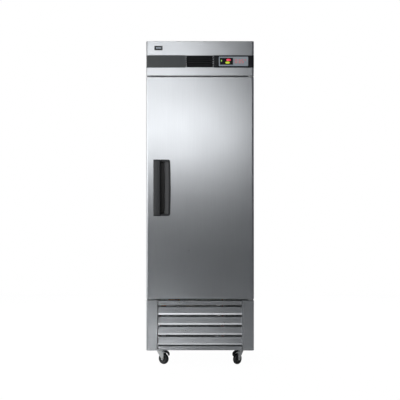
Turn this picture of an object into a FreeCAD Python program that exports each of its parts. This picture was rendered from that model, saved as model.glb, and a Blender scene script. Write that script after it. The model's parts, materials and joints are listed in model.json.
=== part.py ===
"""Single-door reach-in refrigerator, stainless steel, bottom-mounted refrigeration, on four swivel casters.

The frame has +Z up with its origin on the floor under the middle of the cabinet. The door faces -Y, and
its hinge is on the right, at +X. All sizes are in millimetres. Each sub-part is written to parts/NODE.step.
"""
import FreeCAD
import Part
import math
import os

from FreeCAD import Vector

# ---------------------------------------------------------------- driving dimensions
WIDTH = 700.0            # over the side panels
HEIGHT = 2116.0          # floor to top panel
DEPTH = 820.0            # door grip to back panel
GRIP_PROUD = 18.0        # how far the door grip stands off the door's face
DOOR_THICK = 58.0
GASKET_GAP = 12.0        # door back to cabinet face, filled by the gasket
CORNER_R = 14.0          # front vertical corners of header, door and corner posts
SHEET = 1.0              # stainless and liner sheet
WALL = 50.0              # insulated wall

SKIRT_Z = 106.0          # lower edge of the body
POST_TOP = 430.5         # top of the machine compartment's front
DOOR_Z0, DOOR_Z1 = 439.5, 1883.0
HEADER_Z0 = 1891.5
BAND_Z0, BAND_Z1 = 1943.5, 2024.5   # the black plastic band across the header
BAND_DEEP = 3.0

OPENING_X = 292.0        # half width of the door opening
OPENING_Z0, OPENING_Z1 = 495.0, 1830.0
STRIP = 8.0              # breaker strip thickness

# ---------------------------------------------------------------- planes worked out from them
HALF = WIDTH / 2
FRONT = -DEPTH / 2 + GRIP_PROUD     # faces of door, header and grille
BACK = DEPTH / 2
DOOR_BACK = FRONT + DOOR_THICK
FACE = DOOR_BACK + GASKET_GAP       # the cabinet's sealing face
IN_X = HALF - WALL                  # foam's inner side
IN_BACK = BACK - WALL
FLOOR_Z = OPENING_Z0 - STRIP        # top of the floor foam
CEILING_Z = HEIGHT - 55.0
LINTEL_Z = OPENING_Z1 + STRIP
LINTEL_BACK = FACE + 51.0
FOAM_Z0 = POST_TOP + 1.5
PAN_TOP = SKIRT_Z + 2.5      # upper face of the machine compartment's floor

PIN_X, PIN_Y, PIN_R = HALF - 21.0, FRONT + DOOR_THICK / 2, 5.0
RUNNING = 0.05           # radial clearance of a pin in its bush

AXIS_X, AXIS_Y, AXIS_Z = Vector(1, 0, 0), Vector(0, 1, 0), Vector(0, 0, 1)
made = {}


# ---------------------------------------------------------------- helpers
def box(x0, x1, y0, y1, z0, z1):
    return Part.makeBox(x1 - x0, y1 - y0, z1 - z0, Vector(x0, y0, z0))


def rod(radius, start, end):
    """A round bar between two points."""
    along = Vector(*end) - Vector(*start)
    return Part.makeCylinder(radius, along.Length, Vector(*start), along)


def ring(outer, inner, start, end):
    return rod(outer, start, end).cut(rod(inner, start, end))


def prism(points, along):
    """A closed outline of 3D points, carried along a straight vector."""
    corners = [Vector(*p) for p in points]
    return Part.Face(Part.makePolygon(corners + corners[:1])).extrude(Vector(*along))


def fused(first, *others):
    return first.fuse(list(others)).removeSplitter() if others else first


def front_plan(x0, x1, y0, y1, z0, z1, left_r, right_r):
    """An upright block whose two front vertical corners, at y0, are rounded."""
    def corner(x, side, radius):
        middle = Vector(x - side * radius * (1 - math.sqrt(0.5)), y0 + radius * (1 - math.sqrt(0.5)), z0)
        return Vector(x, y0 + radius, z0), middle, Vector(x - side * radius, y0, z0)

    edges = []
    at = Vector(x0, y1, z0)
    if left_r > 0:
        a, m, b = corner(x0, -1, left_r)
        edges += [Part.makeLine(at, a), Part.Arc(a, m, b).toShape()]
        at = b
    else:
        edges.append(Part.makeLine(at, Vector(x0, y0, z0)))
        at = Vector(x0, y0, z0)
    if right_r > 0:
        a, m, b = corner(x1, 1, right_r)
        edges += [Part.makeLine(at, b), Part.Arc(b, m, a).toShape()]
        at = a
    else:
        edges.append(Part.makeLine(at, Vector(x1, y0, z0)))
        at = Vector(x1, y0, z0)
    edges.append(Part.makeLine(at, Vector(x1, y1, z0)))
    edges.append(Part.makeLine(Vector(x1, y1, z0), Vector(x0, y1, z0)))
    return Part.Face(Part.Wire(edges)).extrude(Vector(0, 0, z1 - z0))


def offset_line(points, distance):
    """The open 2D polyline moved sideways by distance, with mitred corners."""
    moved = []
    for i, (u, v) in enumerate(points):
        normals = []
        for j in (i - 1, i):
            if 0 <= j < len(points) - 1:
                du, dv = points[j + 1][0] - points[j][0], points[j + 1][1] - points[j][1]
                size = math.hypot(du, dv)
                normals.append((-dv / size, du / size))
        nu, nv = sum(n[0] for n in normals), sum(n[1] for n in normals)
        size = math.hypot(nu, nv)
        nu, nv = nu / size, nv / size
        grow = distance / (nu * normals[0][0] + nv * normals[0][1])
        moved.append((u + nu * grow, v + nv * grow))
    return moved


def bent_sheet(points, thickness, x0, x1):
    """Sheet metal folded along X: its side view is an open (y, z) line given a thickness."""
    outline = points + offset_line(points, thickness)[::-1]
    return prism([(x0, y, z) for y, z in outline], (x1 - x0, 0, 0))


def pipe(points, radius, bend):
    """A round tube's solid along straight runs joined by tangent arcs of radius bend."""
    at = [Vector(*p) for p in points]
    edges, last = [], at[0]
    for before, here, after in zip(at, at[1:], at[2:]):
        back, on = (before - here).normalize(), (after - here).normalize()
        half = back.getAngle(on) / 2
        reach = bend / math.tan(half)
        start, end = here + back * reach, here + on * reach
        middle = here + (back + on).normalize() * (bend / math.sin(half) - bend)
        edges += [Part.makeLine(last, start), Part.Arc(start, middle, end).toShape()]
        last = end
    edges.append(Part.makeLine(last, at[-1]))
    section = Part.Wire([Part.makeCircle(radius, at[0], at[1] - at[0])])
    return Part.Wire(edges).makePipeShell([section], True, False)


def mirrored_x(shape):
    return shape.mirror(Vector(0, 0, 0), AXIS_X)


def save(name, *shapes):
    """Keeps a node: every closed solid of the shapes given."""
    solids = [s for shape in shapes for s in shape.Solids]
    bad = [i for i, s in enumerate(solids) if not s.isValid() or s.Volume <= 0]
    if not solids or bad:
        raise ValueError(f"{name}: {len(solids)} solids, faulty ones {bad}")
    made[name] = solids


# ---------------------------------------------------------------- cabinet
COMPRESSOR_X, COMPRESSOR_Y, COMPRESSOR_R = -150.0, 165.0, 78.0


def cut_by_services(shape):
    """The two pipes that run down inside the back wall leave their channels in what they cross."""
    return shape.cut([suction_line(8.5), drain_pipe(9.5)])


def suction_line(radius):
    high, low, shell = CEILING_Z - 95, PAN_TOP + 240, COMPRESSOR_Y + COMPRESSOR_R + 0.4
    path = [(-240, 198, high), (-240, 385, high), (-240, 385, low), (COMPRESSOR_X, 385, low),
            (COMPRESSOR_X, 385, PAN_TOP + 124), (COMPRESSOR_X, shell, PAN_TOP + 124)]
    return pipe(path, radius, 20)


def drain_pipe(radius):
    high = CEILING_Z - 177
    return pipe([(180, 255, high), (180, 385, high), (180, 385, PAN_TOP + 78)], radius, 22)


def cabinet_shell():
    side = box(HALF - SHEET, HALF, FACE + SHEET, BACK, SKIRT_Z, HEIGHT)
    save("side_panel_right", side)
    save("side_panel_left", mirrored_x(side))
    inside = HALF - SHEET
    save("top_panel", box(-inside, inside, FACE + SHEET, BACK, HEIGHT - SHEET, HEIGHT))

    # the back panel is stiffened by two shallow vertical beads pressed inwards
    back = box(-inside, inside, BACK - SHEET, BACK, FOAM_Z0, HEIGHT - SHEET)
    bead_w, bead_d = 16.0, 0.5
    for x in (-130, 130):
        back = back.cut(box(x - bead_w / 2, x + bead_w / 2, BACK - bead_d, BACK + 1, 536, 2016))
    save("back_panel", back)

    frame = box(-HALF, HALF, FACE, FACE + SHEET, FOAM_Z0, HEIGHT)
    frame = frame.cut(box(-IN_X, IN_X, FACE - 1, FACE + 2, FLOOR_Z, LINTEL_Z))
    frame = frame.cut(rod(SWITCH_R + 0.3, (SWITCH_X, FACE - 1, SWITCH_Z), (SWITCH_X, FACE + 2, SWITCH_Z)))
    save("face_frame", frame)

    deep = FACE + 26
    jamb = box(OPENING_X, IN_X, FACE, deep, FLOOR_Z, LINTEL_Z)
    save("breaker_strips", jamb, mirrored_x(jamb),
         box(-OPENING_X, OPENING_X, FACE, deep, FLOOR_Z, OPENING_Z0),
         box(-OPENING_X, OPENING_X, FACE, deep, OPENING_Z1, LINTEL_Z))


def cabinet_foam():
    front, back, top = FACE + SHEET, BACK - SHEET, HEIGHT - SHEET
    right = box(IN_X, HALF - SHEET, front, back, FOAM_Z0, top)
    floor = box(-IN_X, IN_X, front, back, FOAM_Z0, FLOOR_Z)
    ceiling = box(-IN_X, IN_X, front, back, CEILING_Z, top)
    rear = box(-IN_X, IN_X, IN_BACK, back, FLOOR_Z, CEILING_Z)
    liner = IN_X - SHEET
    lintel = box(-liner, liner, front, LINTEL_BACK, LINTEL_Z, CEILING_Z - SHEET)
    lintel = lintel.cut(box(*SWITCH_BODY))
    save("cabinet_foam", right, mirrored_x(right), cut_by_services(floor), ceiling,
         cut_by_services(rear), lintel)


def inner_liner():
    """The tub, with a coved floor, and the sheet that wraps the back of the lintel."""
    front = FACE + 26
    tub = box(-IN_X, IN_X, front, IN_BACK, FLOOR_Z, CEILING_Z)
    hollow = box(-IN_X + SHEET, IN_X - SHEET, front - 1, IN_BACK - SHEET, FLOOR_Z + SHEET, CEILING_Z - SHEET)
    coves = [e for e in hollow.Edges
             if abs(e.BoundBox.ZMax - FLOOR_Z - SHEET) < 0.01 and e.BoundBox.ZLength < 0.01
             and e.BoundBox.YMax > front]
    tub = tub.cut(hollow.makeFillet(12, [e for e in coves if e.BoundBox.YMin > front - 2]))
    wrap_z = LINTEL_Z - SHEET
    inside = IN_X - SHEET
    wrap = fused(box(-inside, inside, LINTEL_BACK, LINTEL_BACK + SHEET, wrap_z, CEILING_Z - SHEET),
                 box(-inside, inside, front, LINTEL_BACK + SHEET, wrap_z, LINTEL_Z))
    save("inner_liner", cut_by_services(fused(tub, wrap)))


SWITCH_X, SWITCH_Z, SWITCH_R = -250.0, DOOR_Z1 - 11.5, 4.0
SWITCH_BODY = (SWITCH_X - 13, SWITCH_X + 13, FACE + SHEET, FACE + 36, SWITCH_Z - 9, SWITCH_Z + 9)


def door_switch():
    body = box(*SWITCH_BODY)
    bore = rod(SWITCH_R + RUNNING, (SWITCH_X, FACE, SWITCH_Z), (SWITCH_X, FACE + 30, SWITCH_Z))
    save("door_switch_body", body.cut(bore))
    plunger = rod(SWITCH_R, (SWITCH_X, DOOR_BACK + 0.3, SWITCH_Z), (SWITCH_X, FACE + 22, SWITCH_Z))
    save("door_switch_plunger", plunger)


# ---------------------------------------------------------------- header
VENT_X0, VENT_X1 = -97.0, 90.0
BEZEL_X0, BEZEL_X1, BEZEL_Z0, BEZEL_Z1 = 121.5, 312.0, 1954.0, 2015.0
LAMP_X0, LAMP_X1, LAMP_Z0, LAMP_Z1 = 128.0, 213.0, 1962.5, 2007.0


def header_layer(inset, z0, z1, back=FACE):
    """The header's outline in plan, drawn in by inset."""
    radius = max(CORNER_R - inset, 1.0)
    return front_plan(-HALF + inset, HALF - inset, FRONT + inset, back, z0, z1, radius, radius)


def header():
    outer = fused(header_layer(0, HEADER_Z0, BAND_Z0), header_layer(BAND_DEEP, BAND_Z0, BAND_Z1),
                  header_layer(0, BAND_Z1, HEIGHT))
    open_back, step = FACE + 1, BAND_DEEP + SHEET
    inner = fused(header_layer(SHEET, HEADER_Z0 + SHEET, BAND_Z0 - SHEET, open_back),
                  header_layer(step, BAND_Z0 - SHEET, BAND_Z1 + SHEET, open_back),
                  header_layer(SHEET, BAND_Z1 + SHEET, HEIGHT - SHEET, open_back))
    pan = outer.cut(inner)
    pan = pan.cut([box(VENT_X0 + 7, VENT_X1 - 7, FRONT - 1, FRONT + 8, BAND_Z0 + 5, BAND_Z1 - 4),
                   box(BEZEL_X0 + 4, BEZEL_X1 - 4, FRONT - 1, FRONT + 8, BEZEL_Z0 + 4, BEZEL_Z1 - 4)])
    # its lower edge is notched for the upper hinge bracket
    pan = pan.cut(box(PIN_X - 16, PIN_X + 16, FACE - 4, FACE + 1, HEADER_Z0 - 1, HEADER_Z0 + 3))
    save("header_panel", pan)

    # the plastic band lies in the header's recess, in three pieces, and wraps both front corners
    gap = 0.8
    band = header_layer(0, BAND_Z0 + gap, BAND_Z1 - gap, FACE - 2)
    band = band.cut(header_layer(BAND_DEEP, BAND_Z0 - 1, BAND_Z1 + 1))
    left = band.common(box(-HALF - 1, VENT_X0 - 0.4, FRONT - 1, FACE, BAND_Z0, BAND_Z1))
    save("header_blank_cover", left)
    right = band.common(box(VENT_X1 + 0.4, HALF + 1, FRONT - 1, FACE, BAND_Z0, BAND_Z1))
    save("control_surround", right.cut(box(BEZEL_X0 + 5, BEZEL_X1 - 5, FRONT - 1, FRONT + 5,
                                           BEZEL_Z0 + 5, BEZEL_Z1 - 5)))

    # the middle piece is a grille of five slots, each with a blade that slopes down behind it
    z0, z1, slots, slot_h = BAND_Z0 + 2.5, BAND_Z1 - 2.0, 5, 8.5
    grille = box(VENT_X0, VENT_X1, FRONT + 0.4, FRONT + BAND_DEEP, z0, z1)
    pitch = (z1 - z0 - 4) / slots
    blades = []
    for i in range(slots):
        low = z0 + 2 + i * pitch + (pitch - slot_h) / 2
        grille = grille.cut(box(VENT_X0 + 9, VENT_X1 - 9, FRONT - 1, FRONT + 4, low, low + slot_h))
        top = low + slot_h + 1.0
        blades.append(bent_sheet([(FRONT + BAND_DEEP - 0.6, top), (FRONT + 15, top - 11)], 1.4,
                                 VENT_X0 + 8, VENT_X1 - 8))
    save("header_vent_grille", fused(grille, *blades))

    nameplate = box(-297, -244, FRONT - 1.6, FRONT, HEIGHT - 59, HEIGHT - 31)
    save("nameplate", nameplate.makeFillet(1.2, [e for e in nameplate.Edges if e.BoundBox.YLength > 1]))


def control():
    bezel = box(BEZEL_X0, BEZEL_X1, FRONT - 3, FRONT, BEZEL_Z0, BEZEL_Z1)
    bezel = bezel.makeFillet(4, [e for e in bezel.Edges if e.BoundBox.YLength > 1])
    rim = [e for e in bezel.Edges if e.BoundBox.YMax < FRONT - 2.9]
    bezel = bezel.makeFillet(1.0, rim)
    bezel = bezel.cut([box(LAMP_X0, LAMP_X1, FRONT - 4, FRONT + 1, LAMP_Z0, LAMP_Z1),
                       box(LAMP_X1 + 5, BEZEL_X1 - 7, FRONT - 4, FRONT - 2.2, LAMP_Z0 + 1, LAMP_Z1 - 1)])
    save("control_bezel", bezel)
    save("indicator_window", box(LAMP_X0 + 0.3, LAMP_X1 - 0.3, FRONT - 2.2, FRONT - 0.2,
                                 LAMP_Z0 + 0.3, LAMP_Z1 - 0.3))
    module = box(BEZEL_X0 + 8, BEZEL_X1 - 8, FRONT, FRONT + 46, BEZEL_Z0 + 8, BEZEL_Z1 - 8)
    ear_y = FRONT + BAND_DEEP + SHEET
    ears = [box(x, x + 20, ear_y, ear_y + 2, BEZEL_Z0 + 10, BEZEL_Z0 + 50)
            for x in (BEZEL_X0 - 10, BEZEL_X1 - 10)]
    save("control_module", fused(module, *ears))


# ---------------------------------------------------------------- door
HANDLE_X0, HANDLE_W, HANDLE_Z0, HANDLE_Z1 = -303.5, 114.5, 980.5, 1346.5
GRIP_W, RIM, RIM_PROUD, POCKET_DEEP = 49.0, 13.0, 4.0, 42.0
POCKET = (HANDLE_X0 + 8, HANDLE_X0 + 104, FRONT, FRONT + POCKET_DEEP, HANDLE_Z0 + 8, HANDLE_Z1 - 8)
CLOSER_R, CLOSER_TOP, BUSH_R = 12.0, 560.0, 9.0
LINER_X, LINER_Z0, LINER_Z1 = HALF - 25, DOOR_Z0 + 24.5, DOOR_Z1 - 24.5


def grown(bounds, by):
    """A box's bounds, moved outwards by that much on each side."""
    return tuple(v + (by if i % 2 else -by) for i, v in enumerate(bounds))


def door():
    pin = (PIN_X, PIN_Y)
    outer = front_plan(-HALF, HALF, FRONT, DOOR_BACK, DOOR_Z0, DOOR_Z1, CORNER_R, CORNER_R)
    inner_r = CORNER_R - SHEET
    core = front_plan(-HALF + SHEET, HALF - SHEET, FRONT + SHEET, DOOR_BACK - SHEET,
                      DOOR_Z0 + SHEET, DOOR_Z1 - SHEET, inner_r, inner_r)
    services = [box(*grown(POCKET, 0.3)),
                rod(CLOSER_R + 0.2, (*pin, DOOR_Z0 - 1), (*pin, CLOSER_TOP + 0.3)),
                rod(BUSH_R + 0.2, (*pin, DOOR_Z1 - 30), (*pin, DOOR_Z1 + 1))]
    window = box(-LINER_X, LINER_X, DOOR_BACK - 2, DOOR_BACK + 1, LINER_Z0, LINER_Z1)
    save("door_skin", outer.cut([core, window, *services]))
    # the foam fills five blocks, round the handle's pocket
    foam = core.cut(services)
    x0, x1, _, behind, z0, z1 = grown(POCKET, 0.3)
    blocks = [(-HALF, HALF, FRONT, DOOR_BACK, DOOR_Z0, z0), (-HALF, HALF, FRONT, DOOR_BACK, z1, DOOR_Z1),
              (-HALF, x0, FRONT, DOOR_BACK, z0, z1), (x1, HALF, FRONT, DOOR_BACK, z0, z1),
              (x0, x1, behind, DOOR_BACK, z0, z1)]
    save("door_foam", *[foam.common(box(*block)) for block in blocks])

    # the inner panel has a raised field that stands a little way into the opening
    raised, fit = 14.0, 0.5
    flat = box(-LINER_X + fit, LINER_X - fit, DOOR_BACK - SHEET, DOOR_BACK, LINER_Z0 + fit, LINER_Z1 - fit)
    field_x, field_z0, field_z1 = OPENING_X - 8, OPENING_Z0 + 12, OPENING_Z1 - 12
    field = box(-field_x, field_x, DOOR_BACK - SHEET, DOOR_BACK + raised, field_z0, field_z1)
    field = field.makeFillet(8, [e for e in field.Edges if e.BoundBox.YMin > DOOR_BACK - 2
                                 and (e.BoundBox.YLength > 5 or e.BoundBox.YMin > DOOR_BACK + raised - 0.1)])
    top = DOOR_BACK + raised - SHEET
    hollow = box(-field_x + SHEET, field_x - SHEET, DOOR_BACK - 2, top, field_z0 + SHEET, field_z1 - SHEET)
    hollow = hollow.makeFillet(7, [e for e in hollow.Edges if e.BoundBox.YMin > DOOR_BACK - 3
                                   and (e.BoundBox.YLength > 5 or e.BoundBox.YMin > top - 0.1)])
    save("door_liner", fused(flat, field).cut(hollow))


def door_gasket():
    """A bellows section on all four sides of the door, in four lengths mitred at the corners."""
    inner_x, outer_x = OPENING_X + 12, OPENING_X + 32
    z0, z1 = OPENING_Z0 - 33, OPENING_Z1 + 30
    wide = outer_x - inner_x
    layers = [(0.0, 0.0, 3.0), (4.0, 3.0, 8.0), (1.0, 8.0, GASKET_GAP - 0.3)]
    frame = None
    for inset, near, far in layers:
        y0, y1 = DOOR_BACK + near, DOOR_BACK + far
        layer = box(-outer_x + inset, outer_x - inset, y0, y1, z0 + inset, z1 - inset)
        hole = wide - inset
        layer = layer.cut(box(-outer_x + hole, outer_x - hole, y0 - 1, y1 + 1, z0 + hole, z1 - hole))
        frame = layer if frame is None else frame.fuse(layer)
    y, deep = DOOR_BACK - 1, GASKET_GAP + 2
    big = wide + 4
    left = prism([(-outer_x, y, z0), (-outer_x + big, y, z0 + big), (-outer_x + big, y, z1 - big),
                  (-outer_x, y, z1)], (0, deep, 0))
    low = prism([(-outer_x, y, z0), (outer_x, y, z0), (outer_x - big, y, z0 + big),
                 (-outer_x + big, y, z0 + big)], (0, deep, 0))
    middle_z = (z0 + z1) / 2
    high = low.mirror(Vector(0, 0, middle_z), AXIS_Z)
    save("door_gasket", *[frame.common(part) for part in (left, mirrored_x(left), low, high)])


def door_handle():
    """A black pocket let into the door, and the grip bar that overhangs its left half."""
    x0, z0, z1, w = HANDLE_X0, HANDLE_Z0, HANDLE_Z1, HANDLE_W
    y = FRONT - RIM_PROUD
    middle, corner, bow = (z0 + z1) / 2, 14.0, 7.0
    near = corner * (1 - math.sqrt(0.5))
    edge = x0 + w - bow

    def at(x, z):
        return Vector(x, y, z)

    outline = [Part.makeLine(at(x0, z1), at(x0, z0)), Part.makeLine(at(x0, z0), at(edge - corner, z0)),
               Part.Arc(at(edge - corner, z0), at(edge - near, z0 + near), at(edge, z0 + corner)).toShape(),
               Part.Arc(at(edge, z0 + corner), at(x0 + w, middle), at(edge, z1 - corner)).toShape(),
               Part.Arc(at(edge, z1 - corner), at(edge - near, z1 - near), at(edge - corner, z1)).toShape(),
               Part.makeLine(at(edge - corner, z1), at(x0, z1))]
    rim = Part.Face(Part.Wire(outline)).extrude(Vector(0, RIM_PROUD, 0))
    body = fused(rim, box(*POCKET))
    deep, left, right = FRONT + POCKET_DEEP - 4, x0 + 18, x0 + w - RIM
    floor_end, mouth = x0 + 52, y - 1
    section = [Part.makeLine(Vector(left, mouth, z0 + RIM), Vector(left, deep - 8, z0 + RIM)),
               Part.makeLine(Vector(left, deep - 8, z0 + RIM), Vector(left + 8, deep, z0 + RIM)),
               Part.makeLine(Vector(left + 8, deep, z0 + RIM), Vector(floor_end, deep, z0 + RIM)),
               Part.Arc(Vector(floor_end, deep, z0 + RIM), Vector(x0 + 84, deep - 14, z0 + RIM),
                        Vector(right, mouth, z0 + RIM)).toShape(),
               Part.makeLine(Vector(right, mouth, z0 + RIM), Vector(left, mouth, z0 + RIM))]
    cavity = Part.Face(Part.Wire(section)).extrude(Vector(0, 0, z1 - z0 - 2 * RIM))
    save("door_handle_pocket", body.cut(cavity))

    front = FRONT - GRIP_PROUD
    grip = [Part.makeLine(Vector(x0, y, z0), Vector(x0, y - 5, z0)),
            Part.Arc(Vector(x0, y - 5, z0), Vector(x0 + 21, front + 1.8, z0),
                     Vector(x0 + 43, front, z0)).toShape(),
            Part.Arc(Vector(x0 + 43, front, z0), Vector(x0 + 47.6, front + 1.8, z0),
                     Vector(x0 + GRIP_W, front + 6, z0)).toShape(),
            Part.makeLine(Vector(x0 + GRIP_W, front + 6, z0), Vector(x0 + GRIP_W, y, z0)),
            Part.makeLine(Vector(x0 + GRIP_W, y, z0), Vector(x0, y, z0))]
    bar = Part.Face(Part.Wire(grip)).extrude(Vector(0, 0, z1 - z0))
    grooves = [rod(0.9, (x0 + u, front + 8.4 - 0.175 * u, z0 - 1), (x0 + u, front + 8.4 - 0.175 * u, z1 + 1))
               for u in (8, 16)]
    save("door_handle_grip", bar.cut(grooves))


def hinges():
    """Brackets with fixed pins on the cabinet, and a bush and a self-closing cartridge in the door."""
    x0, x1, thick = PIN_X - 15, PIN_X + 15, 4.0
    nose = FRONT + 1
    top_z = DOOR_Z1 + 2.2
    leaf = box(x0, x1, nose, FACE, top_z, top_z + thick)
    post = box(x0, x1, FACE - 3, FACE, top_z, top_z + 56)
    pin = rod(PIN_R, (PIN_X, PIN_Y, DOOR_Z1 - 22), (PIN_X, PIN_Y, top_z + 1))
    upper = fused(leaf, post, pin)
    low_z = DOOR_Z0 - 2 - thick
    leaf = box(x0, x1, nose, FACE, low_z, low_z + thick)
    post = box(x0, x1, FACE - 3, FACE, low_z - 50, low_z + thick)
    pin = rod(PIN_R, (PIN_X, PIN_Y, low_z + 1), (PIN_X, PIN_Y, DOOR_Z0 + 30))
    save("hinge_brackets", upper, fused(leaf, post, pin))

    def along(z):
        return (PIN_X, PIN_Y, z)

    bush = fused(rod(BUSH_R, along(DOOR_Z1 - 28), along(DOOR_Z1)),
                 rod(12, along(DOOR_Z1), along(DOOR_Z1 + 1.6)))
    save("hinge_bush", bush.cut(rod(PIN_R + RUNNING, along(DOOR_Z1 - 24), along(DOOR_Z1 + 2))))
    closer = fused(rod(CLOSER_R, along(DOOR_Z0), along(CLOSER_TOP)),
                   rod(13.5, along(DOOR_Z0 - 1.5), along(DOOR_Z0)))
    closer = closer.cut([rod(PIN_R + RUNNING, along(DOOR_Z0 - 2), along(DOOR_Z0 + 32)),
                         rod(7, along(DOOR_Z0 + 36), along(CLOSER_TOP - 4))])
    torsion_bar = rod(3.5, along(DOOR_Z0 + 36), along(CLOSER_TOP - 4))
    save("door_closer", closer, torsion_bar)


# ---------------------------------------------------------------- shelves
SHELF_TOPS = (758.0, 1106.0, 1454.0)
STANDARD_Y, STANDARD_X = (-235.0, 285.0), IN_X - SHEET
SLOT_PITCH = 25.4


def shelf_standards():
    """Four slotted channels, screwed to the liner's side walls."""
    z0, z1, wide, deep, wall = OPENING_Z0 + 13, OPENING_Z1 - 14, 25.0, 9.0, 1.6
    posts = []
    for y in STANDARD_Y:
        channel = box(STANDARD_X - deep, STANDARD_X, y - wide / 2, y + wide / 2, z0, z1)
        channel = channel.cut(box(STANDARD_X - deep + wall, STANDARD_X + 1, y - wide / 2 + wall,
                                  y + wide / 2 - wall, z0 - 1, z1 + 1))
        count = int((z1 - z0 - 20) / SLOT_PITCH)
        slots = [box(STANDARD_X - deep - 1, STANDARD_X - deep + wall + 1, y - 5, y + 5,
                     z0 + 14 + i * SLOT_PITCH, z0 + 18 + i * SLOT_PITCH) for i in range(count)]
        channel = channel.cut(slots)
        posts += [channel, mirrored_x(channel)]
    save("shelf_standards", *posts)


def wire_shelf(top):
    """Deck wires laid front to back over cross rods inside a heavier border."""
    edge_x, y0, y1 = 283.0, -288.0, 328.0
    border, cross, deck = 3.4, 3.0, 1.9
    frame_z = top - 2 * deck - border + 0.6
    rods = [rod(border, (-edge_x, y, frame_z), (edge_x, y, frame_z)) for y in (y0, y1)]
    rods += [rod(border, (x, y0, frame_z), (x, y1, frame_z)) for x in (-edge_x, edge_x)]
    rods += [Part.makeSphere(border, Vector(x, y, frame_z)) for x in (-edge_x, edge_x) for y in (y0, y1)]
    cross_z = frame_z + border - cross
    rods += [rod(cross, (-edge_x, y0 + (y1 - y0) * k / 4, cross_z), (edge_x, y0 + (y1 - y0) * k / 4, cross_z))
             for k in (1, 2, 3)]
    wires, gap = 24, 2 * edge_x / 25
    rods += [rod(deck, (-edge_x + gap * (i + 1), y0 - 2, top - deck),
                 (-edge_x + gap * (i + 1), y1 + 2, top - deck))
             for i in range(wires)]
    return fused(rods[0], *rods[1:])


def shelves():
    shelf = wire_shelf(SHELF_TOPS[0])
    clips = []
    for name, top in zip(("shelf_lower", "shelf_middle", "shelf_upper"), SHELF_TOPS):
        save(name, shelf.translated(Vector(0, 0, top - SHELF_TOPS[0])))
        under = top - 2 * 1.9 - 2 * 3.4 + 0.6
        for y in STANDARD_Y:
            face = STANDARD_X - 9.0
            clip = fused(box(face - 12, face, y - 8, y + 8, under - 2, under),
                         box(face - 2, face, y - 8, y + 8, under - 14, under))
            clips += [clip, mirrored_x(clip)]
    save("shelf_clips", *clips)


# ---------------------------------------------------------------- evaporator, light and fans
EVAP_FAN = (0.0, -90.0, CEILING_Z - 183)
COND_FAN = (-60.0, -206.0, PAN_TOP + 162.5)


def fan(blades, hub_r, tip_r, chord, pitch_deg, bore_r):
    """A fan rotor about +Z at the origin: flat blades set at a pitch on a hub."""
    hub = rod(hub_r, (0, 0, -10), (0, 0, 10))
    wings = []
    for i in range(blades):
        wing = box(hub_r - 4, tip_r, -chord / 2, chord / 2, -0.8, 0.8)
        wing.rotate(Vector(0, 0, 0), AXIS_X, pitch_deg)
        wing.rotate(Vector(0, 0, 0), AXIS_Z, i * 360 / blades)
        wings.append(wing)
    return fused(hub, *wings).cut(rod(bore_r, (0, 0, -11), (0, 0, 11)))


def finned_coil(x0, x1, y0, y1, z0, z1, fins, rows, columns, tube_r, stub=6.0):
    """Fins across X on serpentine tubes along X. Returns the solids: fins, tubes and their end bends."""
    fin = box(0, 0.5, y0, y1, z0, z1)
    ys = [y0 + (y1 - y0) * (c + 0.5) / columns for c in range(columns)]
    zs = [z0 + (z1 - z0) * (r + 0.5) / rows for r in range(rows)]
    fin = fin.cut([rod(tube_r, (-1, y, z), (2, y, z)) for y in ys for z in zs])
    solids = [fin.translated(Vector(x0 + stub + (x1 - x0 - 2 * stub - 0.5) * i / (fins - 1), 0, 0))
              for i in range(fins)]
    solids += [rod(tube_r, (x0, y, z), (x1, y, z)) for y in ys for z in zs]
    pitch = zs[1] - zs[0]
    for y in ys:
        for r in range(rows - 1):
            side, x = (1, x1) if r % 2 == 0 else (-1, x0)
            middle = (zs[r] + zs[r + 1]) / 2
            half_turn = Part.makeTorus(pitch / 2, tube_r, Vector(x, y, middle), AXIS_Y)
            keep = box(x, x + pitch, y - 20, y + 20, z0 - 20, z1 + 20)
            if side < 0:
                keep = box(x - pitch, x, y - 20, y + 20, z0 - 20, z1 + 20)
            solids.append(half_turn.common(keep))
    return solids


def evaporator():
    save("evaporator_coil", *finned_coil(-215, 215, 70, 215, CEILING_Z - 165, CEILING_Z - 20, 40, 4, 3, 5.0))
    sheet, x, y0, y1, z0, z1 = 1.2, 262.0, -262.0, 250.0, CEILING_Z - 200, CEILING_Z - SHEET
    cover = box(-x, x, y0, y1, z0, z1)
    cover = cover.cut(box(-x + sheet, x - sheet, y0 + sheet, y1 + 1, z0 + sheet, z1 + 1))
    fx, fy, fz = EVAP_FAN
    cover = cover.cut(rod(98, (fx, fy, z0 - 1), (fx, fy, z0 + 2)))
    rings = [ring(r, r - 2.0, (fx, fy, z0 - 2.5), (fx, fy, z0)) for r in (99, 75, 51, 27)]
    spokes = [box(-99, 99, -1.2, 1.2, z0 - 2.5, z0) for _ in range(3)]
    for i, spoke in enumerate(spokes):
        spoke.rotate(Vector(0, 0, 0), AXIS_Z, i * 60)
        spoke.translate(Vector(fx, fy, 0))
    save("evaporator_cover", fused(cover, *rings, *spokes))
    rotor = fan(5, 22, 90, 42, 28, 3 + RUNNING)
    save("evaporator_fan", rotor.translated(Vector(*EVAP_FAN)))
    save("interior_light", box(-150, 150, -256, -226, z0 - 13, z0 - 2.6))
    save("drain_line", drain_pipe(9.0))


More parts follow.
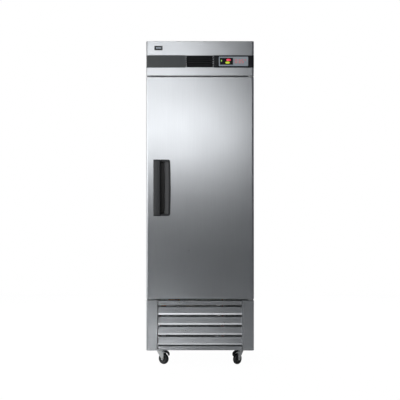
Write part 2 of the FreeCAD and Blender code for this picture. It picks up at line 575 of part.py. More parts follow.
def fan_motors():
    """Each fan motor, with its shaft in the rotor's hub and the bracket that carries it."""
    fx, fy, fz = EVAP_FAN
    upper = fused(rod(32, (fx, fy, fz + 14), (fx, fy, fz + 70)), rod(3, (fx, fy, fz - 9), (fx, fy, fz + 14)),
                  box(fx - 12, fx + 12, fy - 12, fy + 12, fz + 70, CEILING_Z - SHEET))
    cx, cy, cz = COND_FAN
    lower = fused(rod(34, (cx, cy + 14, cz), (cx, cy + 78, cz)), rod(3, (cx, cy - 9, cz), (cx, cy + 14, cz)),
                  box(cx - 14, cx + 14, cy + 30, cy + 60, PAN_TOP, cz - 20))
    save("fan_motors", upper, lower)


# ---------------------------------------------------------------- machine compartment
GRILLE_X, GRILLE_Z0, GRILLE_Z1 = 276.0, 107.5, 429.0
LOUVRE_LIPS = tuple(342.6 - 65.2 * i for i in range(4))   # heights of the louvres' noses
METAL = 1.2


def corner_posts():
    """The two folded posts that frame the grille, closed at both ends and open at the back."""
    inner_x = GRILLE_X + 2
    post = front_plan(inner_x, HALF, FRONT, FACE, SKIRT_Z, POST_TOP, 0, CORNER_R)
    hollow = front_plan(inner_x + METAL, HALF - METAL, FRONT + METAL, FACE + 1,
                        SKIRT_Z + METAL, POST_TOP - METAL,
                        0, CORNER_R - METAL)
    post = post.cut(hollow)
    # the upper rear corner is notched for the lower hinge bracket
    post = post.cut(box(PIN_X - 17, PIN_X + 17, FACE - 6, FACE + 1, POST_TOP - 60, POST_TOP + 1))
    save("corner_posts", post, mirrored_x(post))


def front_grille():
    face, x = FRONT + 1.0, GRILLE_X
    top = bent_sheet([(face + 26, GRILLE_Z1), (face, GRILLE_Z1), (face, 400.0), (face + 10, 400.0)],
                     METAL, -x, x)
    low = bent_sheet([(face + 10, 133.5), (face, 133.5), (face, GRILLE_Z0), (face + 26, GRILLE_Z0)],
                     METAL, -x, x)
    right = box(x - 4, x, face, face + 26, GRILLE_Z0, GRILLE_Z1)
    sides = [right, mirrored_x(right)]
    louvres = []
    for lip in LOUVRE_LIPS:
        blade = [(face + 25, lip + 52), (face + 3.5, lip + 8), (face, lip + 3.5), (face, lip - 3.5),
                 (face + 3.5, lip - 7), (face + 10, lip - 7)]
        louvres.append(bent_sheet(blade, METAL, -x + 3, x - 3))
    save("front_grille", fused(top, low, *sides, *louvres))


def base_frame():
    """The galvanised floor of the machine compartment, with the rails and posts that are welded to it."""
    x, y0, y1, z = HALF - SHEET - 0.5, FACE + 2, BACK - 4, SKIRT_Z
    plate = box(-x, x, y0, y1, z, z + 2.5)
    # air reaches the compressor through rows of slots
    slots = [box(middle - 60, middle + 60, y, y + 9, z - 1, z + 4)
             for middle in (-130, 130) for y in range(-60, 100, 22)]
    plate = plate.cut(slots)
    rails = [box(-x, -x + 2.5, y0, y1, z + 2.5, z + 32), box(x - 2.5, x, y0, y1, z + 2.5, z + 32),
             box(-x + 2.5, x - 2.5, y1 - 2.5, y1, z + 2.5, z + 12)]
    rails += [box(-x + 2.5, x - 2.5, y, y + 2.5, z + 2.5, z + 18) for y in (y0, -100.0)]
    # two uprights carry the cabinet's floor and the lower hinge bracket
    posts = [box(x - 58, x, FACE, FACE + 2, PAN_TOP, FOAM_Z0),
             box(-x, -x + 58, FACE, FACE + 2, PAN_TOP, FOAM_Z0)]
    save("base_frame", plate, *rails, *posts)


def compressor():
    x, y, base, r = COMPRESSOR_X, COMPRESSOR_Y, PAN_TOP, COMPRESSOR_R
    low = base + 22
    can = rod(r, (x, y, low), (x, y, low + 118))
    dome = Part.makeSphere(r, Vector(x, y, low + 118))
    dome = dome.common(box(x - r, x + r, y - r, y + r, low + 118, low + 170))
    seam = rod(r + 5, (x, y, low + 80), (x, y, low + 84))
    can = fused(can, dome, seam)
    feet = box(x - 95, x + 95, y - 60, y + 60, low - 4, low)
    feet = feet.cut([rod(5, (x + i * 82, y + j * 48, low - 5), (x + i * 82, y + j * 48, low + 1))
                     for i in (-1, 1) for j in (-1, 1)])
    mounts = [ring(11, 4, (x + i * 82, y + j * 48, base), (x + i * 82, y + j * 48, low - 4))
              for i in (-1, 1) for j in (-1, 1)]
    terminal = box(x + r + 6, x + r + 36, y - 28, y + 28, low + 20, low + 76)
    neck = box(x + r - 6, x + r + 6, y - 18, y + 18, low + 30, low + 66).cut(can)
    save("compressor", can, feet, *mounts, fused(terminal, neck))


def condenser():
    """Finned coil behind the grille, the fan shroud on its back and the fan that turns in it."""
    x0, x1, y0, y1, z0, z1 = -225.0, 105.0, -300.0, -240.0, PAN_TOP + 37.5, PAN_TOP + 287.5
    coil = finned_coil(x0, x1, y0, y1, z0, z1, 34, 8, 2, 4.5)
    cx, cy, cz = COND_FAN
    shroud = box(x0 + 5, x1 - 5, y1, y1 + 42, z0, z1)
    shroud = shroud.cut(box(x0 + 6.2, x1 - 6.2, y1 - 1, y1 + 40.8, z0 + 1.2, z1 - 1.2))
    save("condenser", *coil, shroud.cut(rod(100, (cx, cy - 60, cz), (cx, cy + 60, cz))))
    rotor = fan(5, 24, 94, 44, 30, 3 + RUNNING)
    rotor.rotate(Vector(0, 0, 0), AXIS_X, -90)
    save("condenser_fan", rotor.translated(Vector(*COND_FAN)))


def refrigerant_lines():
    """Suction line up the back wall, discharge line to the condenser, and the liquid line with its drier."""
    suction = suction_line(7.5)
    top, bottom, start = PAN_TOP + 271.9, PAN_TOP + 53.1, COMPRESSOR_Y - COMPRESSOR_R - 0.4
    low = PAN_TOP + 70
    discharge = pipe([(COMPRESSOR_X, start, low), (COMPRESSOR_X, -30, low), (-262, -30, low),
                      (-262, -255, low),
                      (-262, -255, top), (-225.2, -255, top)], 4.0, 12)
    dx, dy, dz = 150, -285, PAN_TOP + 80
    drier = fused(rod(13, (dx, dy, dz), (dx, dy, dz + 90)),
                  Part.makeCone(13, 4, 14, Vector(dx, dy, dz + 90), AXIS_Z),
                  Part.makeCone(13, 4, 14, Vector(dx, dy, dz), -AXIS_Z))
    liquid = pipe([(dx, dy, dz - 14), (dx, dy, PAN_TOP + 24), (-250, dy, PAN_TOP + 24), (-250, dy, bottom),
                   (-225.2, dy, bottom)], 4.0, 8)
    capillary = pipe([(dx, dy, dz + 104), (dx, dy, dz + 160), (dx, -200, dz + 160), (dx, -200, FOAM_Z0)],
                     4.0, 12)
    save("refrigerant_lines", suction, discharge, drier, liquid, capillary)


def condensate_pan():
    pan = box(60, 300, 300, 398, PAN_TOP, PAN_TOP + 58)
    hollow = box(62, 298, 302, 396, PAN_TOP + 2, PAN_TOP + 60)
    save("condensate_pan", pan.cut(hollow))


GLAND = (318.0, PAN_TOP + 90)   # x and z of the supply cord's gland
GLAND_R = 5.0
REAR_Y = BACK - 2.0


def rear_cover():
    """The slotted panel over the back of the machine compartment, and the gland for the supply cord."""
    cover = box(-HALF + 3, HALF - 3, REAR_Y - METAL, REAR_Y, SKIRT_Z + 34, POST_TOP)
    slots = []
    for column in (-215, -65, 85):
        for row in range(9):
            z = PAN_TOP + 68 + row * 25
            slots.append(box(column - 60, column + 60, REAR_Y - 5, REAR_Y + 1, z, z + 8))
    gx, gz = GLAND
    cover = cover.cut(slots + [rod(10.0, (gx, REAR_Y - 5, gz), (gx, REAR_Y + 1, gz))])
    save("rear_cover", cover)
    body = fused(rod(9.8, (gx, REAR_Y - 18, gz), (gx, REAR_Y, gz)),
                 rod(13, (gx, REAR_Y - 18, gz), (gx, REAR_Y - METAL - 0.1, gz)))
    save("cord_gland", body.cut(rod(GLAND_R, (gx, REAR_Y - 19, gz), (gx, REAR_Y + 9, gz))))


def screws():
    """Pan-head screws that show: rear cover, back panel, grille and hinge brackets."""
    def head(x, y, z, side, radius=4.2, tall=2.2):
        base = rod(radius, (x, y, z), (x, y + side * tall, z))
        tip = [e for e in base.Edges
               if abs(e.BoundBox.YMax - (y + side * tall)) < 0.01 and e.BoundBox.YLength < 0.01]
        return base.makeFillet(tall * 0.7, tip)

    heads = [head(x, REAR_Y, z, 1, tall=1.9)
             for x in (-330, 10, 330) for z in (SKIRT_Z + 48, POST_TOP - 18)]
    heads += [head(side * (GRILLE_X - 14), FRONT + 1, z, -1, 3.6, 0.9)
              for side in (-1, 1) for z in (GRILLE_Z0 + 13, GRILLE_Z1 - 14)]
    heads += [head(PIN_X, FACE - 3, z, -1, 4.5, 2.4)
              for z in (DOOR_Z1 + 22, DOOR_Z1 + 44, DOOR_Z0 - 26, DOOR_Z0 - 44)]
    return heads


# ---------------------------------------------------------------- casters
CASTER_X, CASTER_FRONT_Y, CASTER_REAR_Y = 263.0, FACE + 46, BACK - 82
WHEEL_R, WHEEL_W, OFFSET = 36.0, 24.0, 27.0
PLATE_Z = SKIRT_Z - 3.0          # underside of the mounting plates
CROWN_Z = PLATE_Z - 7.0          # top of the forks
PEDAL_T, PEDAL_Z = 30.0, CROWN_Z - 9.0
CASTERS = {
    # name: centre x, centre y, direction in which the wheel trails in degrees from +X, has a brake
    "front_left": (-CASTER_X, CASTER_FRONT_Y, -35.0, True),
    "front_right": (CASTER_X, CASTER_FRONT_Y, -130.0, True),
    "rear_left": (-CASTER_X, CASTER_REAR_Y, 62.0, False),
    "rear_right": (CASTER_X, CASTER_REAR_Y, 118.0, False),
}


def caster_fork():
    """Crown, king pin and two tapering legs in one pressing, with the axle bolt through their feet."""
    top = CROWN_Z - 4
    crown = fused(Part.makeCone(20, 27, 4, Vector(0, 0, top), AXIS_Z),
                  rod(5, (0, 0, top), (0, 0, SKIRT_Z - 0.5)))
    inner, thick = WHEEL_W / 2 + 2.5, 2.5
    legs = []
    for side in (-1, 1):
        y = side * inner if side > 0 else -inner - thick
        leg = prism([(-19, y, top), (22, y, top), (38, y, top - 3), (OFFSET + 9, y, WHEEL_R + 1),
                     (OFFSET - 9, y, WHEEL_R - 1)], (0, thick, 0))
        leg = leg.fuse(rod(9, (OFFSET, y, WHEEL_R), (OFFSET, y + thick, WHEEL_R)))
        legs.append(leg.cut(rod(4, (OFFSET, y - 1, WHEEL_R), (OFFSET, y + thick + 1, WHEEL_R))))
    bridge = box(-19, 22, -inner - thick, inner + thick, top - 4, top)
    fork = fused(crown, bridge, *legs)
    width = inner + thick
    fork = fork.cut(rod(2.5, (PEDAL_T, -width - 1, PEDAL_Z), (PEDAL_T, width + 1, PEDAL_Z)))
    axle = fused(rod(4, (OFFSET, -width - 5, WHEEL_R), (OFFSET, width + 5, WHEEL_R)),
                 rod(6.5, (OFFSET, -width - 5, WHEEL_R), (OFFSET, -width, WHEEL_R)),
                 rod(6.5, (OFFSET, width, WHEEL_R), (OFFSET, width + 5, WHEEL_R)))
    return [fork, axle]


def caster_wheel():
    """Rubber tyre on a core with a running bore for the axle."""
    y0, y1, core_r = -WHEEL_W / 2, WHEEL_W / 2, 24.0
    tyre = rod(WHEEL_R, (OFFSET, y0, WHEEL_R), (OFFSET, y1, WHEEL_R))
    tyre = tyre.makeFillet(5, [e for e in tyre.Edges if e.BoundBox.YLength < 0.01])
    tyre = tyre.cut(rod(core_r, (OFFSET, y0 - 1, WHEEL_R), (OFFSET, y1 + 1, WHEEL_R)))
    core = rod(core_r, (OFFSET, y0 + 2, WHEEL_R), (OFFSET, y1 - 2, WHEEL_R))
    core = fused(core, rod(8, (OFFSET, y0 - 1.5, WHEEL_R), (OFFSET, y1 + 1.5, WHEEL_R)))
    return [tyre, core.cut(rod(4 + RUNNING, (OFFSET, y0 - 3, WHEEL_R), (OFFSET, y1 + 3, WHEEL_R)))]


def brake_pedal():
    """A pressed lever on a pin between the legs, sloping down over the trailing side of the wheel."""
    half = WHEEL_W / 2 + 1.6
    outline = [(-3, 3.5), (6, 4), (38, -18), (43, -27), (38, -26), (4, -3.2), (-3, -3.2)]
    lever = prism([(PEDAL_T + u, -half, PEDAL_Z + v) for u, v in outline], (0, 2 * half, 0))
    pin = rod(2.45, (PEDAL_T, -WHEEL_W / 2 - 7, PEDAL_Z), (PEDAL_T, WHEEL_W / 2 + 7, PEDAL_Z))
    return [fused(lever, pin)]


def caster_plate():
    plate = box(-31, 31, -42, 42, PLATE_Z, SKIRT_Z)
    plate = plate.makeFillet(6, [e for e in plate.Edges if e.BoundBox.ZLength > 2])
    race = Part.makeCone(24, 30, PLATE_Z - CROWN_Z - 0.3, Vector(0, 0, CROWN_Z + 0.3), AXIS_Z)
    holes = [rod(4.25, (i * 22.5, j * 33, PLATE_Z - 1), (i * 22.5, j * 33, SKIRT_Z + 1))
             for i in (-1, 1) for j in (-1, 1)]
    bore = rod(5 + RUNNING, (0, 0, CROWN_Z), (0, 0, SKIRT_Z + 1))
    return fused(plate, race).cut([bore, *holes])


def hex_bolt(x, y, z):
    """The head of an M8 bolt that holds a caster's plate, seen from below."""
    corners = [(x + 7.5 * math.cos(math.radians(60 * k)), y + 7.5 * math.sin(math.radians(60 * k)), z - 5.3)
               for k in range(6)]
    return prism(corners, (0, 0, 5.3))


def casters():
    plates, bolts = [], []
    for name, (cx, cy, trail, braked) in CASTERS.items():
        place = Vector(cx, cy, 0)
        parts = {"caster_fork": caster_fork(), "caster_wheel": caster_wheel()}
        if braked:
            parts["caster_brake"] = brake_pedal()
        for kind, solids in parts.items():
            placed = []
            for solid in solids:
                turned = solid.copy()
                turned.rotate(Vector(0, 0, 0), AXIS_Z, trail)
                placed.append(turned.translated(place))
            save(f"{kind}_{name}", *placed)
        plates.append(caster_plate().translated(place))
        bolts += [hex_bolt(cx + i * 22.5, cy + j * 33, PLATE_Z) for i in (-1, 1) for j in (-1, 1)]
    save("caster_plates", *plates)
    save("fasteners", *screws(), *bolts)


def main():
    cabinet_shell()
    cabinet_foam()
    inner_liner()
    door_switch()
    header()
    control()
    door()
    door_gasket()
    door_handle()
    hinges()
    shelf_standards()
    shelves()
    evaporator()
    fan_motors()
    corner_posts()
    front_grille()
    base_frame()
    compressor()
    condenser()
    refrigerant_lines()
    condensate_pan()
    rear_cover()
    casters()
    os.makedirs("parts", exist_ok=True)
    for name, solids in made.items():
        shape = solids[0] if len(solids) == 1 else Part.makeCompound(solids)
        shape.exportStep(f"parts/{name}.step")
    print(f"{len(made)} nodes, {sum(len(s) for s in made.values())} solids")


main()
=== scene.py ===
# %% [markdown]
# # A one-door reach-in refrigerator
#
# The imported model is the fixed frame: it says how big every part is and what it moves with. This script
# gives each part its finish, and rebuilds the parts whose curves matter as surfaces worked out with numpy.

# %% Load the frame
import json
import math

import bmesh
import bpy
import numpy as np
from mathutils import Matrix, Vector


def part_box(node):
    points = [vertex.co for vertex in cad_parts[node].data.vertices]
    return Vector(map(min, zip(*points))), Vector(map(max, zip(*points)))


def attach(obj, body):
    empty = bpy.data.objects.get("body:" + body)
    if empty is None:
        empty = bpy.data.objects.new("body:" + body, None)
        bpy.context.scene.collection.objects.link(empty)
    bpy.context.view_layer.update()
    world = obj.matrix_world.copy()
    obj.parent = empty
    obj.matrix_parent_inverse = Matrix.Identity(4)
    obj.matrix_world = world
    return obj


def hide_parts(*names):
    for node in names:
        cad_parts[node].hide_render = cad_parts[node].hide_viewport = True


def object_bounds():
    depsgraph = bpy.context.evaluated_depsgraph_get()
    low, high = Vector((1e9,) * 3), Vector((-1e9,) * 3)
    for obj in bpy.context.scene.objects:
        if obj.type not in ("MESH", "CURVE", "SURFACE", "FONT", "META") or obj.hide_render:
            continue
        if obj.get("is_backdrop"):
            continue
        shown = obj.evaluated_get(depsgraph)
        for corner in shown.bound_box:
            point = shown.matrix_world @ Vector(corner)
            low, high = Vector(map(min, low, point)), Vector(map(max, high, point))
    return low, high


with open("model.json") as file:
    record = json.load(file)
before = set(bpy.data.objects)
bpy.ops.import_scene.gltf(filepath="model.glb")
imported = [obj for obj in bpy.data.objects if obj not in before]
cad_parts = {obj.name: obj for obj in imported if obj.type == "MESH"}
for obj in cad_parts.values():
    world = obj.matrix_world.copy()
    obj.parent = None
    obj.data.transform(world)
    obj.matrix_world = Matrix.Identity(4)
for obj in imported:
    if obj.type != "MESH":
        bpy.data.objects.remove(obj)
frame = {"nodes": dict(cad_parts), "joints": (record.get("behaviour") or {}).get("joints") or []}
cad_box = [list(corner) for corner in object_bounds()]
JOINTS = {joint["name"]: joint for joint in frame["joints"]}
MM = 0.001

# %% [markdown]
# ## The camera
#
# The cabinet is seen square from the front, from about half its height, so that its sides stay upright. The
# distance sets how much of the rear casters shows: from 6 m, the cabinet's lower edge just hides them.

# %% Camera
FRAME_WIDTH = 2.598      # how wide the view is at the cabinet's front face, in metres
EYE = (-0.001, -6.0, 1.084)
SENSOR = 36.0            # in millimetres
front_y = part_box("door_skin")[0].y

camera_data = bpy.data.cameras.new("camera")
camera_data.sensor_width = SENSOR
camera_data.lens = SENSOR * (front_y - EYE[1]) / FRAME_WIDTH
camera = bpy.data.objects.new("camera", camera_data)
camera.location = EYE
camera.rotation_euler = (math.radians(90), 0, 0)
bpy.context.collection.objects.link(camera)
bpy.context.scene.camera = camera
print(f"lens {camera_data.lens:.1f} mm")

# %% [markdown]
# ## Shader sums written as Python
#
# A material is a small formula. `Sock` wraps the output of a node, so that `grain * 0.3 + 0.2` adds the
# Math nodes for that sum. Colours and vectors have nodes of their own, because a Math node would turn a
# colour grey. Every other node comes from `Finish.node`.


# %% A socket that does sums
class Sock:
    """A node's output. Operators on it add Math nodes, and their result is another Sock."""

    def __init__(self, finish, socket):
        self.finish, self.socket = finish, socket

    def _math(self, operation, first, second):
        return self.finish.node("Math", {"operation": operation}, {0: first, 1: second})

    def __add__(self, other):
        return self._math("ADD", self, other)

    def __sub__(self, other):
        return self._math("SUBTRACT", self, other)

    def __rsub__(self, other):
        return self._math("SUBTRACT", other, self)

    def __mul__(self, other):
        return self._math("MULTIPLY", self, other)

    __radd__, __rmul__ = __add__, __mul__


# %% A material under construction
class Finish:
    """A material with its Principled shader, to which patterns are added."""

    def __init__(self, name, colour, roughness, **levels):
        self.material = bpy.data.materials.new(name)
        self.material.use_nodes = True
        self.tree = self.material.node_tree
        self.shader = self.tree.nodes["Principled BSDF"]
        self.set(**{"Base Color": (*colour, 1.0), "Roughness": roughness})
        self.set(**{name.replace("_", " "): value for name, value in levels.items()})

    def set(self, **values):
        """Gives the shader's inputs values or links."""
        for name, value in values.items():
            self._feed(self.shader.inputs[name], value)

    def _feed(self, target, value):
        if isinstance(value, Sock):
            self.tree.links.new(value.socket, target)
        else:
            target.default_value = value

    def node(self, kind, settings=None, inputs=None, output=0):
        """Adds a node: settings are its own properties, and inputs are values or links by name or number."""
        made = self.tree.nodes.new("ShaderNode" + kind)
        for name, value in (settings or {}).items():
            setattr(made, name, value)
        for name, value in (inputs or {}).items():
            self._feed(made.inputs[name], value)
        return Sock(self, made.outputs[output])


# %% Patterns that the finishes share
def place(finish, scale):
    """The object's own coordinates, in metres, times a scale: one number, or one for each axis."""
    where = finish.node("TexCoord", output="Object")
    each = scale if isinstance(scale, tuple) else (scale,) * 3
    return finish.node("VectorMath", {"operation": "MULTIPLY"}, {0: where, 1: each})


def noise(finish, scale, detail=3.0, rough=0.5):
    """Cloudy noise from 0 to 1. scale is how many clouds there are to a metre."""
    return finish.node("TexNoise", {"noise_dimensions": "3D"},
                       {"Vector": place(finish, scale), "Scale": 1.0, "Detail": detail, "Roughness": rough})


def spread(finish, value, low, high):
    """Stretches the span from low to high over 0 to 1, and cuts off the rest."""
    return finish.node("MapRange", {"clamp": True}, {"Value": value, "From Min": low, "From Max": high})


def blend_colours(finish, factor, first, second):
    """A colour that goes from first to second as factor goes from 0 to 1."""
    ends = {0: factor, 6: (*first, 1.0), 7: (*second, 1.0)}
    return finish.node("Mix", {"data_type": "RGBA"}, ends, output=2)


def tint(finish, colour, factor, amount):
    """The colour, darker by amount where factor is 0 and lighter by it where factor is 1."""
    dark = [c * (1 - amount) for c in colour]
    light = [min(c * (1 + amount), 1.0) for c in colour]
    return blend_colours(finish, factor, dark, light)


def bump(finish, height, distance, under=None):
    """A surface that rises by distance, in metres, where height is 1, on top of another bump."""
    inputs = {"Height": height, "Distance": distance, "Strength": 1.0}
    if under is not None:
        inputs["Normal"] = under
    return finish.node("Bump", {}, inputs)


# %% [markdown]
# ## The metals
#
# Brushed stainless is a mirror that has been scratched one way. The grain is noise that is stretched about
# 150 times longer along the brushing than across it. It drives three things: a little colour, a little
# roughness and a very shallow bump, which spreads highlights across the grain as the real scratches do. A
# second, slow bump of a few tenths of a millimetre is the waviness that every large sheet has, and a cloudy
# change of roughness is handling.


# %% Brushed stainless
def brushed_steel(name, colour, roughness, along, waviness=0.5, grain_depth=0.012):
    """Steel brushed along one axis, 'X', 'Y' or 'Z'. waviness and grain_depth are heights in millimetres."""
    finish = Finish(name, colour, roughness, Metallic=1.0)
    fine = tuple(6.0 if axis == along else 900.0 for axis in "XYZ")
    coarse = tuple(1.6 if axis == along else 260.0 for axis in "XYZ")
    grain = 0.6 * noise(finish, fine, 2.0, 0.6) + 0.4 * noise(finish, coarse, 2.0, 0.5)
    handled = spread(finish, noise(finish, 5.0, 4.0, 0.6), 0.35, 0.75)
    finish.set(**{"Base Color": tint(finish, colour, grain, 0.10),
                  "Roughness": roughness + 0.10 * (grain - 0.5) + 0.03 * handled})
    wave = bump(finish, noise(finish, (3.2, 3.2, 2.2), 1.0, 0.4), waviness * MM)
    finish.set(Normal=bump(finish, grain, grain_depth * MM, wave))
    return finish.material


STEEL = (0.60, 0.62, 0.645)
door_steel = brushed_steel("door_steel", STEEL, 0.29, "Z", grain_depth=0.03)
header_steel = brushed_steel("header_steel", STEEL, 0.29, "X", grain_depth=0.15)
grille_steel = brushed_steel("grille_steel", STEEL, 0.28, "X", grain_depth=0.12)
side_steel = brushed_steel("side_steel", (0.58, 0.60, 0.62), 0.36, "Z", waviness=0.8)
liner_steel = brushed_steel("liner_steel", (0.66, 0.675, 0.69), 0.42, "X", waviness=0.4, grain_depth=0.006)
inner_door_steel = brushed_steel("inner_door_steel", (0.64, 0.655, 0.67), 0.38, "Z", waviness=0.3)


# %% [markdown]
# Galvanised sheet shows the flat zinc crystals that grew as it cooled. Voronoi cells of about 12 mm give
# each crystal its own grey and its own gloss. Zinc-plated pressings have no crystals, only a faint yellow
# and blue bloom. That is two colours in patches, and so are tarnished copper and dusty fins, so one
# function makes the three of them.


# %% Galvanised and plated steel
def galvanised_sheet():
    """Zinc crystals: the random grey of a Voronoi cell drives its colour, its gloss and a slight height."""
    zinc_grey = (0.52, 0.54, 0.55)
    finish = Finish("galvanised_sheet", zinc_grey, 0.36, Metallic=0.9)
    warp = noise(finish, 60.0, 2.0)
    where = finish.node("VectorMath", {"operation": "ADD"}, {0: place(finish, 85.0), 1: warp})
    crystal = finish.node("TexVoronoi", {"feature": "F1"}, {"Vector": where, "Scale": 1.0}, output="Color")
    grey = finish.node("SeparateColor", {}, {"Color": crystal})
    finish.set(**{"Base Color": tint(finish, zinc_grey, grey, 0.16), "Roughness": 0.36 + 0.18 * grey})
    finish.set(Normal=bump(finish, grey, 0.01 * MM))
    return finish.material


def two_tone(name, colours, smooth, rougher, cloud, cut, metallic=1.0):
    """Metal of one colour with patches of a second, where it is also rougher.

    cloud says what noise the patches are (clouds to a metre, detail, roughness), and cut which span is used.
    """
    finish = Finish(name, colours[0], smooth, Metallic=metallic)
    patch = spread(finish, noise(finish, *cloud), *cut)
    finish.set(**{"Base Color": blend_colours(finish, patch, *colours),
                  "Roughness": smooth + rougher * patch})
    return finish


galvanised = galvanised_sheet()
plated = two_tone("zinc_plate", ((0.84, 0.83, 0.79), (0.76, 0.79, 0.82)), 0.28, 0.12, (70.0, 3.0),
                  (0.35, 0.65), metallic=0.55)
plated.set(Normal=bump(plated, noise(plated, 900.0, 2.0), 0.01 * MM))
tarnished = two_tone("copper_tube", ((0.76, 0.42, 0.27), (0.30, 0.16, 0.11)), 0.24, 0.3, (28.0, 5.0, 0.6),
                     (0.42, 0.72))
dusty = two_tone("finned_aluminium", ((0.76, 0.77, 0.78), (0.52, 0.53, 0.53)), 0.3, 0.2, (22.0, 4.0),
                 (0.4, 0.7))
zinc, copper, fins = plated.material, tarnished.material, dusty.material


# %% [markdown]
# ## The plastics, rubbers and paints
#
# Moulded plastic is never one flat colour. Its tool was spark-eroded, which leaves a fine pebble of about
# 0.7 mm, and handling leaves cloudy changes of gloss. One function makes them all, from the colour, the
# gloss and how deep the pebble is. Inside a deep recess, painted shade darkens the plastic towards the floor.
# Rubber has a chalky bloom, and enamel is smooth with a slight orange peel.


# %% Moulded plastic, rubber and enamel
def moulded(name, colour, roughness, pebble=0.02, cells=1500.0, **levels):
    """Plastic with a pebbled skin: pebble is its height in millimetres, cells its number to a metre."""
    finish = Finish(name, colour, roughness, **levels)
    skin = noise(finish, cells, 2.0, 0.55)
    worn = spread(finish, noise(finish, 14.0, 4.0, 0.6), 0.3, 0.75)
    finish.set(**{"Base Color": tint(finish, colour, 0.7 * worn + 0.3 * skin, 0.10),
                  "Roughness": roughness + 0.10 * (worn - 0.5)})
    finish.set(Normal=bump(finish, skin, pebble * MM))
    return finish.material


def plastic_with_painted_shade(name, colour, roughness, mouth_y, floor_y):
    """Pebbled plastic with painted shade that darkens it from a recess's mouth to its floor.

    It has its colour in front of the mouth and 4% of it at the floor. Both places are Y in millimetres.
    """
    finish = Finish(name, colour, roughness)
    depth = finish.node("SeparateXYZ", {}, {"Vector": place(finish, 1.0)}, output="Y")
    lit = 1 - spread(finish, depth, mouth_y * MM, floor_y * MM)
    # painted shade: the colour falls to 4% of itself towards the recess floor
    finish.set(**{"Base Color": blend_colours(finish, lit, [c * 0.04 for c in colour], colour)})
    finish.set(Normal=bump(finish, noise(finish, 1500.0, 2.0, 0.55), 0.03 * MM))
    return finish.material


def rubber(name, colour, roughness):
    """Rubber with a pale chalky bloom in patches."""
    finish = Finish(name, colour, roughness)
    bloom = spread(finish, noise(finish, 45.0, 5.0, 0.65), 0.45, 0.8)
    chalk = [c * 1.5 + 0.02 for c in colour]
    finish.set(**{"Base Color": blend_colours(finish, bloom, colour, chalk),
                  "Roughness": 0.15 * bloom + (roughness - 0.07)})
    finish.set(Normal=bump(finish, noise(finish, 1100.0, 3.0), 0.03 * MM))
    return finish.material


def enamel(name, colour, roughness, **levels):
    """Sprayed paint with a slight orange peel."""
    finish = Finish(name, colour, roughness, **levels)
    peel = noise(finish, 420.0, 1.0, 0.4)
    flow = noise(finish, 9.0, 3.0)
    finish.set(**{"Base Color": tint(finish, colour, flow, 0.06),
                  "Roughness": roughness + 0.08 * (flow - 0.5)})
    finish.set(Normal=bump(finish, peel, 0.025 * MM))
    return finish.material


cover_plastic = moulded("cover_plastic", (0.075, 0.082, 0.086), 0.42, pebble=0.03)
grille_plastic = moulded("grille_plastic", (0.014, 0.015, 0.017), 0.42, Specular_IOR_Level=0.3)
surround_plastic = moulded("surround_plastic", (0.010, 0.011, 0.015), 0.40, Specular_IOR_Level=0.25)
handle_plastic = moulded("handle_plastic", (0.028, 0.030, 0.034), 0.40, pebble=0.03)
black_plastic = moulded("black_plastic", (0.030, 0.031, 0.033), 0.48)
white_plastic = moulded("white_plastic", (0.72, 0.73, 0.72), 0.45)
grey_plastic = moulded("grey_plastic", (0.22, 0.23, 0.24), 0.46)
bezel_plastic = moulded("bezel_plastic", (0.50, 0.56, 0.62), 0.40, pebble=0.01, cells=2600.0, Metallic=0.25)
lamp_diffuser = moulded("lamp_diffuser", (0.88, 0.88, 0.85), 0.5, pebble=0.05, cells=500.0)
window_gloss = enamel("window_gloss", (0.012, 0.012, 0.016), 0.12, Coat_Weight=0.6)
shell_enamel = enamel("shell_enamel", (0.016, 0.016, 0.018), 0.28)
motor_enamel = enamel("motor_enamel", (0.10, 0.105, 0.11), 0.36)
wire_coating = enamel("wire_coating", (0.74, 0.76, 0.77), 0.30)
tyre_rubber = rubber("tyre_rubber", (0.030, 0.031, 0.033), 0.62)
gasket_rubber = rubber("gasket_rubber", (0.16, 0.165, 0.17), 0.58)
hub_plastic = moulded("hub_plastic", (0.055, 0.057, 0.060), 0.44)


# %% [markdown]
# The foam's cut faces show only through a few gaps. Its cells are Voronoi pits. The lamps on the display
# glow through tinted lenses that are a little cloudy.


# %% Foam and lamps
def rigid_foam():
    """Yellow foam whose cells, about a millimetre wide, are pits, with painted shade that darkens their
    bottoms.
    """
    straw = (0.80, 0.72, 0.48)
    finish = Finish("rigid_foam", straw, 0.9)
    cell = finish.node("TexVoronoi", {"feature": "F1"}, {"Vector": place(finish, 900.0), "Scale": 1.0})
    # painted shade: each cell is darker towards its middle, the bottom of its pit
    finish.set(**{"Base Color": tint(finish, straw, spread(finish, cell, 0.0, 0.8), 0.2)})
    finish.set(Normal=bump(finish, cell, 0.3 * MM))
    return finish.material


def lamp_glow(name, colour, strength):
    """A tinted lens with a lamp behind it. Cloudy noise of about a millimetre breaks up the even glow."""
    finish = Finish(name, colour, 0.22, Coat_Weight=0.4)
    dim = [c * 0.55 for c in colour]
    glow = blend_colours(finish, noise(finish, 700.0, 2.0), dim, colour)
    finish.set(**{"Emission Color": glow, "Emission Strength": strength})
    return finish.material


foam = rigid_foam()
green_lamp = lamp_glow("green_lamp", (0.35, 0.72, 0.10), 0.55)
red_lamp = lamp_glow("red_lamp", (0.85, 0.05, 0.10), 0.75)
lime_lamp = lamp_glow("lime_lamp", (0.60, 0.72, 0.04), 0.65)
digit_lamp = lamp_glow("digit_lamp", (0.85, 0.13, 0.12), 0.62)
print(len(bpy.data.materials), "materials, with those that came with the frame")

# %% [markdown]
# ## Surfaces from formulas
#
# Almost every new piece is one closed outline carried through a list of stations: at each station the
# outline is drawn in by some inset and stands at some height. A folded sheet, a rounded cover, a gasket and
# a lens are all made so. The outline's own axes are (u, v), with the height w across them, and three little
# matrices say where u, v and w point on the cabinet. Sizes here are in millimetres, and become metres when
# the mesh is made.

